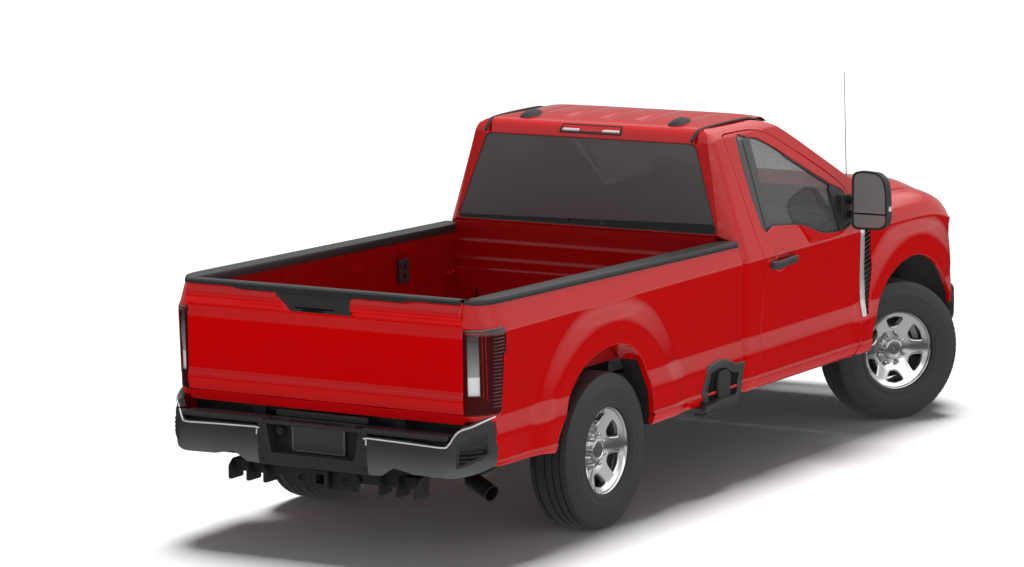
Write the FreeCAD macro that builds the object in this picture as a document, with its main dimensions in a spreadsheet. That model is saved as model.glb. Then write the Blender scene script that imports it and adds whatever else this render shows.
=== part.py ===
import FreeCAD, Part

import os
from types import SimpleNamespace

import Sketcher
from FreeCAD import Placement, Rotation, Vector

# A regular-cab, long-bed pickup truck in millimetres: +X forward, +Y left, +Z up,
# with its origin on the ground below the middle of its overall length.

SIZES = {
    # whole vehicle
    "overall_length": 5888,
    "front_axle_x": 2014,
    "rear_axle_x": -1583,
    "axle_height": 421.5,
    "body_half_width": 1016,
    "shut_gap": 6,
    "running_gap": 0.5,
    # body side section: heights and half widths from the sill up to the roof
    "sill_z": 456,
    "sill_half_width": 900,
    "crease_z": 560,
    "crease_half_width": 992,
    "shoulder_z": 1200,
    "shoulder_half_width": 1004,
    "belt_z": 1372,
    "belt_half_width": 950,
    "drip_z": 1925,
    "drip_half_width": 770,
    "roof_edge_z": 1975,
    "roof_edge_half_width": 690,
    "roof_top_z": 2020,
    "side_bulge_radius": 9000,
    "shoulder_radius": 320,
    "roof_crown_radius": 5400,
    "roof_corner_radius": 110,
    # cab
    "cab_back_x": -118,
    "cab_back_top_x": -62,
    "roof_rear_x": -30,
    "roof_front_x": 640,
    "windscreen_foot_x": 1560,
    "windscreen_foot_z": 1412,
    "firewall_x": 1382,
    "cab_wall": 50,
    "roof_wall": 35,
    "floor_top_z": 720,
    "floor_thickness": 40,
    "sill_inner_half_width": 800,
    "door_seat_half_width": 868,
    "glass_thickness": 6,
    "rear_glass_foot_half_width": 850,
    "rear_glass_head_half_width": 680,
    "rear_glass_foot_z": 1378,
    "rear_glass_head_z": 1885,
    "windscreen_foot_half_width": 830,
    "windscreen_head_half_width": 650,
    "cowl_side_width": 61,
    # doors
    "door_rear_x": 108,
    "door_front_x": 1300,
    "door_bottom_z": 508,
    "door_thickness": 130,
    "door_skin": 12,
    "door_frame_depth": 34,
    "door_inner_inset": 18,
    "door_front_gap": 10,
    "window_rear_x": 175,
    "window_sill_z": 1384,
    "window_head_z": 1880,
    "window_frame_rise": 48,
    "pillar_half_width": 958,
    # hood and wings
    "hood_rear_gap": 12,
    "hood_front_x": 2790,
    "hood_half_width": 838,
    "hood_rear_z": 1412,
    "hood_front_z": 1312,
    "hood_drop": 70,
    "panel_wall": 22,
    "wing_front_x": 2545,
    "wing_top_z": 1300,
    "front_arch_x": 1985,
    "arch_radius": 568,
    "arch_height": 430,
    # load bed
    "bed_front_x": -150,
    "bed_rear_x": -2752,
    "bed_floor_z": 864,
    "bed_floor_thickness": 30,
    "bed_inner_half_width": 850,
    "bed_rail_z": 1388,
    "headboard_thickness": 42,
    "wheelhouse_inner_half_width": 641,
    "wheelhouse_wall": 20,
    "rear_arch_x": -1600,
    "bed_side_bottom_z": 500,
    "rail_cap_height": 14,
    "rail_cap_width": 96,
    # tailgate
    "tailgate_rear_x": -2829,
    "tailgate_thickness": 60,
    "tailgate_half_width": 846,
    "tailgate_bottom_z": 822,
    "tailgate_top_z": 1384,
    "tailgate_cap_height": 14,
    "tailgate_handle_width": 330,
    "tailgate_handle_height": 70,
    # lamps
    "tail_lamp_bottom_z": 815,
    "tail_lamp_top_z": 1245,
    "tail_lamp_depth": 165,
    # rear bumper and towing gear
    "bumper_rear_x": -2944,
    "bumper_half_width": 985,
    "bumper_top_z": 772,
    "bumper_bottom_z": 560,
    "bumper_thickness": 60,
    "bumper_step_depth": 110,
    "plate_recess_half_width": 205,
    "receiver_outer": 64,
    "receiver_inner": 51,
    "receiver_z": 408,
    "receiver_rear_x": -2862,
    "receiver_length": 260,
    "receiver_pin_radius": 8,
    # chassis frame
    "rail_inner_half_width": 400,
    "rail_width": 75,
    "rail_height": 140,
    "rail_mid_z": 500,
    "rail_rear_z": 650,
    "rail_front_z": 560,
    "rail_rear_x": -2770,
    "rail_nose_x": 2640,
    # wheels
    "tyre_radius": 421.5,
    "tyre_width": 275,
    "rim_radius": 246,
    "rim_lip_radius": 232,
    "rim_width": 200,
    "front_wheel_y": 867,
    "rear_wheel_y": 853,
    "kingpin_y": 770,
    "lug_circle_radius": 85,
    "lug_count": 8,
    "window_count": 6,
    "hub_radius": 62,
    "front_hub_reach": 54,
    "rear_hub_reach": 72.5,
    "disc_radius": 178,
    # chassis parts
    "axle_tube_radius": 45,
    "shaft_radius": 42,
    "pipe_radius": 38,
    "spare_radius": 400,
    "spare_x": -2195,
}


class Size:
    """A length or an angle: its number and the sheet expression that gives it."""

    def __init__(self, value, text=None):
        self.value = float(value)
        self.text = text if text is not None else f"({float(value)!r})"

    def joined(self, other, sign, value):
        return Size(value, f"({self.text} {sign} {as_size(other).text})")

    def __add__(self, other):
        return self.joined(other, "+", self.value + as_size(other).value)

    def __sub__(self, other):
        return self.joined(other, "-", self.value - as_size(other).value)

    def __mul__(self, other):
        return self.joined(other, "*", self.value * as_size(other).value)

    def __truediv__(self, other):
        return self.joined(other, "/", self.value / as_size(other).value)

    def __radd__(self, other):
        return as_size(other) + self

    def __rsub__(self, other):
        return as_size(other) - self

    def __rmul__(self, other):
        return as_size(other) * self

    def __neg__(self):
        return Size(0) - self


def as_size(item):
    """Wraps a plain number as a Size."""
    return item if isinstance(item, Size) else Size(item)


document = FreeCAD.newDocument("PickupTruck")
sheet = document.addObject("Spreadsheet::Sheet", "Sizes")
for row, (alias, number) in enumerate(SIZES.items(), start=1):
    sheet.set(f"A{row}", alias)
    sheet.set(f"B{row}", str(number))
    sheet.setAlias(f"B{row}", alias)
document.recompute()
S = SimpleNamespace(**{alias: Size(number, f"Sizes.{alias}") for alias, number in SIZES.items()})
NODES = {}

# sketch axes of each plane: (first axis, second axis, turn that lays the sketch on it)
PLANES = {
    "XY": Rotation(),
    "XZ": Rotation(Vector(1, 0, 0), 90),
    "YZ": Rotation(Vector(1, 1, 1), 120),
}


def bind(item, prop, size):
    """Ties one property of an object to the sheet."""
    item.setExpression(prop, as_size(size).text)


def place(item, x=0, y=0, z=0, turn=None):
    """Puts an object at a bound position, with a fixed turn."""
    item.Placement = Placement(Vector(0, 0, 0), turn or Rotation())
    for axis, size in (("x", x), ("y", y), ("z", z)):
        if isinstance(size, Size) or size:
            bind(item, f"Placement.Base.{axis}", size)
    return item


def draw(target, path):
    """Draws a closed outline in a sketch and ties every corner to the sheet.

    A corner is (u, v), or (u, v, radius, side) where the edge that starts there is an arc
    that bows to its left (side 1) or to its right (side -1).
    """
    corners = [(as_size(c[0]), as_size(c[1])) for c in path]
    first = len(target.Geometry)
    starts = []
    for index, corner in enumerate(path):
        u0, v0 = (part.value for part in corners[index])
        u1, v1 = (part.value for part in corners[(index + 1) % len(path)])
        start, end = Vector(u0, v0, 0), Vector(u1, v1, 0)
        if len(corner) == 2:
            target.addGeometry(Part.LineSegment(start, end))
            starts.append((1, 2))
            continue
        radius, side = as_size(corner[2]).value, corner[3]
        chord = end - start
        rise = radius - (radius ** 2 - (chord.Length / 2) ** 2) ** 0.5
        normal = Vector(-chord.y, chord.x, 0).normalize() * side
        target.addGeometry(Part.Arc(start, (start + end) * 0.5 + normal * rise, end))
        at_start = target.getPoint(first + index, 1).distanceToPoint(start) < 1e-6
        starts.append((1, 2) if at_start else (2, 1))
    count = len(path)
    for index in range(count):
        after = (index + 1) % count
        target.addConstraint(Sketcher.Constraint(
            "Coincident", first + index, starts[index][1], first + after, starts[after][0]))
    for index, (u, v) in enumerate(corners):
        for kind, size in (("DistanceX", u), ("DistanceY", v)):
            number = target.addConstraint(Sketcher.Constraint(
                kind, -1, 1, first + index, starts[index][0], size.value))
            bind(target, f"Constraints[{number}]", size)
        if len(path[index]) == 4:
            radius = as_size(path[index][2])
            number = target.addConstraint(Sketcher.Constraint("Radius", first + index, radius.value))
            bind(target, f"Constraints[{number}]", radius)


def prism(name, plane, path, start, end):
    """Extrudes an outline in one of the main planes between two distances along its normal."""
    outline = document.addObject("Sketcher::SketchObject", f"{name}_outline")
    outline.Placement = Placement(Vector(0, 0, 0), PLANES[plane])
    draw(outline, path)
    low, high = (as_size(start), as_size(end))
    if plane == "XZ":
        low, high = (-high, -low)
    axis = {"XY": "z", "XZ": "y", "YZ": "x"}[plane]
    bind(outline, f"Placement.Base.{axis}", -low if plane == "XZ" else low)
    body = document.addObject("Part::Extrusion", name)
    body.Base = outline
    body.DirMode = "Normal"
    body.Solid = True
    bind(body, "LengthFwd", high - low)
    return body


def block(name, x0, x1, y0, y1, z0, z1):
    """A box between two bound corners."""
    body = document.addObject("Part::Box", name)
    for prop, low, high in (("Length", x0, x1), ("Width", y0, y1), ("Height", z0, z1)):
        bind(body, prop, as_size(high) - low)
    return place(body, x0, y0, z0)


AXIS_TURN = {"X": Rotation(Vector(0, 1, 0), 90), "Y": Rotation(Vector(1, 0, 0), -90), "Z": Rotation()}


def rod(name, axis, radius, length, x, y, z):
    """A cylinder that starts at a bound point and runs along +X, +Y or +Z."""
    body = document.addObject("Part::Cylinder", name)
    bind(body, "Radius", radius)
    bind(body, "Height", length)
    return place(body, x, y, z, AXIS_TURN[axis])


def cone(name, axis, radius, end_radius, length, x, y, z):
    """A cone frustum that starts at a bound point and runs along +X, +Y or +Z."""
    body = document.addObject("Part::Cone", name)
    bind(body, "Radius1", radius)
    bind(body, "Radius2", end_radius)
    bind(body, "Height", length)
    return place(body, x, y, z, AXIS_TURN[axis])


def fuse(name, *shapes):
    """Joins pieces into one."""
    body = document.addObject("Part::MultiFuse", name)
    body.Shapes = list(shapes)
    body.Refine = True
    return body


def common(name, *shapes):
    """Keeps what the pieces share."""
    body = document.addObject("Part::MultiCommon", name)
    body.Shapes = list(shapes)
    return body


def cut(name, base, *tools):
    """Takes one or more tools out of a base."""
    for index, tool in enumerate(tools):
        last = index == len(tools) - 1
        body = document.addObject("Part::Cut", name if last else f"{name}_cut{index}")
        body.Base = base
        body.Tool = tool
        base = body
    return base


def mirror(name, source):
    """The same piece on the other side of the truck."""
    body = document.addObject("Part::Mirroring", name)
    body.Source = source
    body.Normal = Vector(0, 1, 0)
    return body


def node(item, name):
    """Makes an object one of the written sub-parts."""
    item.Label = name
    NODES[name] = item
    return item


def both_sides(name, source):
    """A node that holds a right-hand piece and its mirror image."""
    pair = document.addObject("Part::Compound", name)
    pair.Links = [source, mirror(f"{name}_other", source)]
    return node(pair, name)


def revolve(name, path, x, y, z, turn=None):
    """A body revolved about Y: the outline is drawn as (distance along Y, radius)."""
    body = document.addObject("PartDesign::Body", name)
    plane = [item for item in body.Origin.OriginFeatures if item.Role == "YZ_Plane"][0]
    axis = [item for item in body.Origin.OriginFeatures if item.Role == "Y_Axis"][0]
    outline = body.newObject("Sketcher::SketchObject", f"{name}_section")
    outline.AttachmentSupport = [(plane, "")]
    outline.MapMode = "FlatFace"
    draw(outline, path)
    turned = body.newObject("PartDesign::Revolution", f"{name}_turned")
    turned.Profile = outline
    turned.ReferenceAxis = (axis, [""])
    turned.Angle = 360
    place(body, x, y, z, turn)
    return body


def drill_pattern(body, name, centre, radius, depth_from, depth, count):
    """Cuts a ring of round windows through a wheel, about its own Y axis."""
    plane = [item for item in body.Origin.OriginFeatures if item.Role == "XZ_Plane"][0]
    axis = [item for item in body.Origin.OriginFeatures if item.Role == "Y_Axis"][0]
    outline = body.newObject("Sketcher::SketchObject", f"{name}_window")
    outline.AttachmentSupport = [(plane, "")]
    outline.MapMode = "FlatFace"
    outline.addGeometry(Part.Circle(Vector(0, as_size(centre).value, 0), Vector(0, 0, 1), radius))
    outline.addConstraint(Sketcher.Constraint("PointOnObject", 0, 3, -2))
    place_number = outline.addConstraint(
        Sketcher.Constraint("DistanceY", -1, 1, 0, 3, as_size(centre).value))
    bind(outline, f"Constraints[{place_number}]", centre)
    size_number = outline.addConstraint(Sketcher.Constraint("Radius", 0, as_size(radius).value))
    bind(outline, f"Constraints[{size_number}]", radius)
    window = body.newObject("PartDesign::Pocket", f"{name}_pocket")
    window.Profile = outline
    window.Midplane = True
    bind(window, "Length", depth)
    ring = body.newObject("PartDesign::PolarPattern", f"{name}_ring")
    ring.Originals = [window]
    ring.Axis = (axis, [""])
    ring.Angle = 360
    bind(ring, "Occurrences", count)
    body.Tip = ring
    return ring


# Body side section, drawn as (half width, height) and closed over both sides

def section_path(inset=0):
    """The cross-section of cab and bed, moved in by a wall thickness."""
    inset = as_size(inset)
    side = [
        (S.sill_half_width - inset, S.sill_z),
        (S.crease_half_width - inset, S.crease_z, S.side_bulge_radius, 1),
        (S.shoulder_half_width - inset, S.shoulder_z, S.shoulder_radius * 2, 1),
        (S.belt_half_width - inset, S.belt_z),
        (S.drip_half_width - inset, S.drip_z, S.roof_corner_radius, 1),
        (S.roof_edge_half_width - inset, S.roof_edge_z - inset, S.roof_crown_radius, 1),
    ]
    right = [(-corner[0],) + corner[1:] for corner in side]
    path = []
    for index, corner in enumerate(side[:-1]):
        path.append(corner if len(corner) == 2 else corner[:3] + (-1,))
    path.append((side[-1][0], side[-1][1], S.roof_crown_radius, -1))
    mirrored = list(reversed(right))
    for index, corner in enumerate(mirrored):
        following = side[len(side) - 2 - index] if index < len(side) - 1 else None
        if following is not None and len(following) == 4:
            path.append((corner[0], corner[1], following[2], -1))
        else:
            path.append((corner[0], corner[1]))
    return path


def cab_profile(inset=0, bottom=None):
    """The side view of the cab, moved in by a wall thickness."""
    inset = as_size(inset)
    bottom = S.sill_z if bottom is None else bottom
    roof_drop = inset
    return [
        (S.cab_back_x + inset, bottom),
        (S.firewall_x - inset, bottom),
        (S.firewall_x - inset, S.wing_top_z + S.shut_gap),
        (S.windscreen_foot_x - inset, S.wing_top_z + S.shut_gap),
        (S.windscreen_foot_x - inset, S.windscreen_foot_z - inset),
        (S.roof_front_x - inset, S.roof_top_z - 18 - roof_drop, S.roof_crown_radius, -1),
        (S.roof_rear_x + inset, S.roof_edge_z - roof_drop),
        (S.cab_back_top_x + inset, S.drip_z - roof_drop),
        (S.cab_back_x + inset, S.belt_z),
    ]


LENGTH = S.overall_length
HOOD_REAR_X = S.windscreen_foot_x + S.hood_rear_gap
REACH = S.body_half_width + 200


def cab_solid(name, inset=0, bottom=None):
    """The cab's closed outer or inner form."""
    return common(
        name,
        prism(f"{name}_side", "XZ", cab_profile(inset, bottom), -REACH, REACH),
        prism(f"{name}_front", "YZ", section_path(inset), -LENGTH, LENGTH))


def door_outline(inset=0, front_inset=None):
    """The door's shut line in side view; a positive inset makes it smaller."""
    inset = as_size(inset)
    front = inset if front_inset is None else as_size(front_inset)
    return [
        (S.door_rear_x + inset, S.door_bottom_z + inset),
        (S.door_front_x - front, S.door_bottom_z + inset),
        (S.door_front_x - front, S.belt_z + 60 - inset),
        (S.roof_front_x + 30 - inset, S.window_head_z + S.window_frame_rise - 20 - inset),
        (S.roof_front_x - 160 - inset, S.window_head_z + S.window_frame_rise - inset),
        (S.door_rear_x + inset, S.window_head_z + S.window_frame_rise - inset),
    ]


def window_outline():
    """The door window in side view."""
    return [
        (S.window_rear_x, S.window_sill_z),
        (S.door_front_x - 110, S.window_sill_z),
        (S.roof_front_x - 20, S.window_head_z - 30),
        (S.roof_front_x - 180, S.window_head_z),
        (S.window_rear_x, S.window_head_z),
    ]


def screen_plan():
    """The windscreen opening seen from above."""
    return [
        (S.roof_front_x + 10, -S.windscreen_head_half_width),
        (S.windscreen_foot_x - 50, -S.windscreen_foot_half_width),
        (S.windscreen_foot_x - 50, S.windscreen_foot_half_width),
        (S.roof_front_x + 10, S.windscreen_head_half_width),
    ]


def rear_glass_outline():
    """The rear window seen from behind."""
    return [
        (-S.rear_glass_foot_half_width, S.rear_glass_foot_z),
        (S.rear_glass_foot_half_width, S.rear_glass_foot_z),
        (S.rear_glass_head_half_width, S.rear_glass_head_z),
        (-S.rear_glass_head_half_width, S.rear_glass_head_z),
    ]


def build_cab():
    """Hollow cab with its floor, sills, pillars and roof, and its two fixed panes."""
    shell = cab_solid("cab_outer")
    cavity = cab_solid("cab_cavity", S.cab_wall, S.floor_top_z)
    underside = block("cab_underside", -LENGTH, LENGTH, -S.sill_inner_half_width,
                      S.sill_inner_half_width, 0, S.floor_top_z - S.floor_thickness)
    doorway = prism("doorway", "XZ", door_outline(-S.shut_gap),
                    S.door_seat_half_width * 0, REACH)
    side_room = block("door_side_room", -LENGTH, LENGTH, S.door_seat_half_width, REACH, 0,
                      S.overall_length)
    upper_room = block("door_upper_room", -LENGTH, LENGTH, S.drip_half_width - 300, REACH,
                       S.floor_top_z, S.overall_length)
    doorway = common("doorway_side", doorway, fuse("doorway_room", side_room, upper_room))
    screen = prism("screen_tool", "XY", screen_plan(), S.belt_z, S.overall_length)
    rear = prism("rear_glass_tool", "YZ", rear_glass_outline(), -LENGTH / 4, S.door_rear_x)
    wing_room = block("wing_room", S.door_front_x + S.shut_gap - 0.5, LENGTH, S.pillar_half_width,
                      REACH, 0, S.wing_top_z + S.shut_gap)
    body = cut("cab_panels", shell, cavity, underside, doorway, mirror("doorway_left", doorway),
               screen, rear, wing_room, mirror("wing_room_right", wing_room))
    stops = [block(f"door_stop_{index}", x, x + 120, S.door_seat_half_width - 10,
                   S.body_half_width - S.door_thickness - S.running_gap, 590, 620)
             for index, x in enumerate((260, 1000))]
    stops += [mirror(f"{stop.Name}_right", stop) for stop in list(stops)]
    node(fuse("cab_shell", body, *stops), "cab_shell")
    glass_in = cab_solid("glass_face", 8)
    glass_out = cab_solid("glass_back", S.glass_thickness + 8)
    sheet_glass = cut("glass_sheet", glass_in, glass_out)
    node(common("windscreen_pane", sheet_glass,
                prism("screen_pane_tool", "XY", screen_plan(), S.belt_z, S.overall_length)),
         "windscreen")
    node(common("rear_pane", sheet_glass,
                prism("rear_pane_tool", "YZ", rear_glass_outline(), -LENGTH / 4, S.door_rear_x)),
         "rear_window")


def build_doors():
    """Two doors: skin, inner box, window frame and pane."""
    skin = common("door_skin_layer", cab_solid("door_outer"),
                  prism("door_skin_tool", "XZ", door_outline(), 0, REACH))
    skin = cut("door_skin_sheet", skin, cab_solid("door_skin_core", S.door_skin, S.sill_z))
    inner_low = common("door_box", cab_solid("door_core", S.door_skin, S.sill_z),
                       prism("door_box_tool", "XZ", door_outline(S.door_inner_inset), 0, REACH),
                       block("door_box_depth", -LENGTH, LENGTH,
                             S.body_half_width - S.door_thickness, REACH, 0, S.window_sill_z - 12))
    frame_outer = cab_solid("door_frame_outer", S.door_skin, S.sill_z)
    frame_inner = cab_solid("door_frame_inner", S.door_frame_depth, S.sill_z)
    frame = common("door_frame", cut("door_frame_layer", frame_outer, frame_inner),
                   prism("door_frame_tool", "XZ", door_outline(S.door_inner_inset), 0, REACH),
                   block("door_frame_height", -LENGTH, LENGTH, 0, REACH, S.belt_z - 60,
                         S.overall_length))
    solid = fuse("door_solid", skin, inner_low, frame)
    opening = prism("door_window_tool", "XZ", window_outline(), 0, REACH)
    door = cut("door_left_panel", solid, opening)
    node(door, "door_left")
    node(mirror("door_right_panel", door), "door_right")
    pane = common("door_pane",
                  cut("door_glass_sheet", cab_solid("door_glass_out", S.door_skin),
                      cab_solid("door_glass_in", S.door_skin + S.glass_thickness)),
                  prism("door_pane_tool", "XZ", window_outline(), 0, REACH))
    node(pane, "door_glass_left")
    node(mirror("door_pane_right", pane), "door_glass_right")


def build_mirrors():
    """Towing mirrors on two arms each, with the door handle beside them."""
    head = prism("mirror_head", "YZ",
                 [(1120, 1270), (1330, 1280), (1345, 1580), (1130, 1600)],
                 S.door_front_x - 55, S.door_front_x + 30)
    sail = block("mirror_foot", S.door_front_x - 250, S.door_front_x - 80,
                 S.body_half_width - 80, S.body_half_width - 40, 1300, 1370)
    lower = block("mirror_lower_arm", S.door_front_x - 110, S.door_front_x - 80,
                  S.body_half_width - 60, 1120, 1330, 1360)
    upper = block("mirror_upper_arm", S.door_front_x - 110, S.door_front_x - 55,
                  1060, 1125, 1330, 1360)
    handle = block("door_handle_bar", S.door_rear_x + 80, S.door_rear_x + 330,
                   S.shoulder_half_width - 20, S.shoulder_half_width + 30, 1150, 1190)
    body = fuse("mirror_left_body", head, sail, lower, upper)
    body = cut("mirror_left_fitted", body, NODES["door_left"], NODES["door_glass_left"])
    grip = cut("handle_left", handle, NODES["door_left"])
    pair = document.addObject("Part::Compound", "mirror_left_pair")
    pair.Links = [body, grip]
    node(pair, "mirror_left")
    node(mirror("mirror_right_pair", pair), "mirror_right")


def front_profile(inset=0):
    """Side view of hood and wings."""
    inset = as_size(inset)
    return [
        (S.door_front_x + S.door_front_gap, S.crease_z - 60),
        (S.hood_front_x + 60 - inset, S.crease_z - 60),
        (S.hood_front_x + 60 - inset, S.hood_front_z - 160 - inset),
        (S.hood_front_x - inset, S.hood_front_z - inset, S.roof_crown_radius, -1),
        (HOOD_REAR_X - 60, S.hood_rear_z - inset),
        (S.door_front_x + S.door_front_gap, S.hood_rear_z - inset),
    ]


def front_section(inset=0):
    """Front view of hood and wings, both sides."""
    inset = as_size(inset)
    side = [
        (S.crease_half_width - inset, S.crease_z - 60),
        (S.shoulder_half_width - inset, S.shoulder_z),
        (S.hood_half_width + 60 - inset, S.wing_top_z - inset),
        (S.hood_half_width - 120, S.hood_rear_z - 30 - inset),
    ]
    return side + [(-u, v) for u, v in reversed(side)]


def front_solid(name, inset=0):
    """The closed form under hood and wings, narrowed towards the nose in plan."""
    inset = as_size(inset)
    plan = [
        (S.door_front_x + S.door_front_gap, S.body_half_width - inset),
        (S.front_arch_x + 100, S.body_half_width - inset),
        (S.wing_front_x, S.body_half_width - 50 - inset),
        (S.hood_front_x + 60 - inset, S.body_half_width - 180 - inset),
    ]
    plan = plan + [(u, -v) for u, v in reversed(plan)]
    return common(name,
                  prism(f"{name}_side", "XZ", front_profile(inset), -REACH, REACH),
                  prism(f"{name}_front", "YZ", front_section(inset), 0, LENGTH),
                  prism(f"{name}_plan", "XY", plan, 0, LENGTH))


def build_front():
    """Hood, wings, support panel, grille, lamps and front bumper."""
    outer = front_solid("front_outer")
    skin = cut("front_skin", outer, front_solid("front_core", S.panel_wall))
    hood_zone = prism("hood_zone", "XY", [
        (HOOD_REAR_X, -S.hood_half_width), (S.hood_front_x + 100, -S.hood_half_width),
        (S.hood_front_x + 100, S.hood_half_width), (HOOD_REAR_X, S.hood_half_width)],
        S.wing_top_z - 160, S.overall_length)
    hood_zone = cut("hood_zone_open", hood_zone, block(
        "hood_nose_open", S.hood_front_x + 20, LENGTH, -REACH, REACH, 0, S.wing_top_z - 40))
    hood = common("hood_panel", skin, hood_zone)
    node(hood, "hood")
    wing_zone = block("wing_zone", S.door_front_x + S.door_front_gap, S.wing_front_x,
                      S.hood_half_width + S.shut_gap, REACH, 0, LENGTH)
    arch = rod("front_arch", "Y", S.arch_radius, REACH * 2, S.front_arch_x, -REACH, S.arch_height)
    low = block("front_arch_low", S.front_arch_x, LENGTH, -REACH, REACH, 0, S.crease_z + 80)
    pillar_room = block("wing_pillar_room", 0, S.firewall_x + S.shut_gap, 0,
                        S.pillar_half_width + S.shut_gap, 0, LENGTH)
    cowl_room = block("wing_cowl_room", 0, S.windscreen_foot_x + S.shut_gap, 0,
                      S.windscreen_foot_half_width + S.cowl_side_width, S.wing_top_z, LENGTH)
    wing = cut("wing_left_skin", common("wing_skin", skin, wing_zone), arch, low, pillar_room,
               cowl_room)
    shelf = common("wing_shelf", outer, block(
        "wing_shelf_bar", S.firewall_x + 20, S.wing_front_x - 25, 640, REACH, 1195, 1210))
    wing = fuse("wing_left_body", wing, shelf)
    node(wing, "wing_left")
    node(mirror("wing_right_body", wing), "wing_right")
    apron = block("apron", S.firewall_x, 2560, 640, 660, 700, 1195)
    apron = cut("apron_arch", apron, rod("apron_arch_tool", "Y", 500, REACH, S.front_axle_x, 0,
                                         S.axle_height - 60))
    apron_right = mirror("apron_right", apron)
    core = block("radiator_core", 2560, 2620, -840, 840, 705, 1180)
    posts = [rod(f"hood_post_{index}", "Z", 14, 300, 2590, y, 1150)
             for index, y in enumerate((-500, 500))]
    posts = common("hood_posts", fuse("hood_post_pair", *posts),
                   front_solid("hood_underside", S.panel_wall + S.running_gap))
    node(fuse("radiator_support", core, apron, apron_right, posts), "radiator_support")
    grille = block("grille_panel", 2620, 2780, -560, 560, 780, 1150)
    bars = [block(f"grille_slot_{index}", 2740, 2790, -520, 520, 820 + index * 70, 860 + index * 70)
            for index in range(4)]
    node(cut("grille_bars", grille, *bars), "grille")
    lamp = block("head_lamp", 2620, 2760, 565, 830, 830, 1140)
    both_sides("headlamps", lamp)
    bumper = prism("front_bumper_bar", "XY", [
        (2640, -940), (2760, -940), (2930, -700), (2944, 0), (2930, 700), (2760, 940),
        (2640, 940), (2640, 880), (2720, 860), (2850, 640), (2860, 0), (2850, -640),
        (2720, -860), (2640, -880)], 540, 760)
    irons = [block(f"front_bumper_iron_{index}", S.rail_nose_x, 2870, low, low + S.rail_width,
                   590, 670)
             for index, low in enumerate((S.rail_inner_half_width,
                                          -S.rail_inner_half_width - S.rail_width))]
    node(fuse("front_bumper_body", bumper, *irons), "front_bumper")


def build_bed():
    """Load bed: floor, headboard, wheelhouses, two sides, rail caps."""
    floor = block("bed_floor", S.bed_rear_x, S.bed_front_x, -S.bed_inner_half_width,
                  S.bed_inner_half_width, S.bed_floor_z - S.bed_floor_thickness, S.bed_floor_z)
    headboard = block("headboard", S.bed_front_x - S.headboard_thickness, S.bed_front_x,
                      -S.bed_inner_half_width, S.bed_inner_half_width,
                      S.bed_floor_z, S.bed_rail_z - 20)
    house = rod("wheelhouse_out", "Y", S.arch_radius + S.wheelhouse_wall,
                S.bed_inner_half_width - S.wheelhouse_inner_half_width,
                S.rear_arch_x, S.wheelhouse_inner_half_width, S.arch_height)
    hollow = rod("wheelhouse_in", "Y", S.arch_radius,
                 S.bed_inner_half_width - S.wheelhouse_inner_half_width,
                 S.rear_arch_x, S.wheelhouse_inner_half_width + S.wheelhouse_wall, S.arch_height)
    above = block("wheelhouse_above", -LENGTH, LENGTH, 0, REACH,
                  S.bed_floor_z - S.bed_floor_thickness, LENGTH)
    house = common("wheelhouse", house, above)
    sills = [block(f"bed_sill_{index}", x, x + 80, -S.rail_inner_half_width - 75,
                   S.rail_inner_half_width + 75, S.rail_rear_z + S.rail_height,
                   S.bed_floor_z - S.bed_floor_thickness)
             for index, x in enumerate((-2600, -2050, -1350))]
    solid = fuse("bed_solid", floor, headboard, house, mirror("wheelhouse_right", house), *sills)
    bed = cut("bed_box", solid, hollow, mirror("wheelhouse_hollow_right", hollow))
    node(bed, "bed_box")
    side = common(
        "bed_side_solid",
        prism("bed_side_section", "YZ", section_path(), S.tailgate_rear_x, S.bed_front_x),
        block("bed_side_zone", S.tailgate_rear_x, S.bed_front_x, S.bed_inner_half_width, REACH,
              S.bed_side_bottom_z, S.bed_rail_z))
    arch = rod("rear_arch", "Y", S.arch_radius, REACH, S.rear_arch_x, 0, S.arch_height)
    lamp_seat = block("lamp_seat", S.tailgate_rear_x - 1, S.tailgate_rear_x + S.tail_lamp_depth,
                      S.tailgate_half_width, REACH, S.tail_lamp_bottom_z, S.tail_lamp_top_z)
    bumper_room = block("bumper_room", S.tailgate_rear_x - 1, S.tailgate_rear_x + 136, 0, REACH,
                        0, S.bumper_top_z + S.shut_gap)
    bed_side = cut("bed_side_left_body", side, arch, lamp_seat, bumper_room)
    node(bed_side, "bed_side_left")
    node(mirror("bed_side_right_body", bed_side), "bed_side_right")
    cap = block("rail_cap", S.tailgate_rear_x, S.bed_front_x, S.bed_inner_half_width,
                S.bed_inner_half_width + S.rail_cap_width, S.bed_rail_z,
                S.bed_rail_z + S.rail_cap_height)
    both_sides("bed_rail_caps", cap)
    lamp = common("tail_lamp",
                  prism("tail_lamp_section", "YZ", section_path(2), S.tailgate_rear_x,
                        S.tailgate_rear_x + S.tail_lamp_depth),
                  block("tail_lamp_zone", S.tailgate_rear_x,
                        S.tailgate_rear_x + S.tail_lamp_depth, S.bed_inner_half_width, REACH,
                        S.tail_lamp_bottom_z, S.tail_lamp_top_z))
    both_sides("tail_lamps", lamp)


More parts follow.
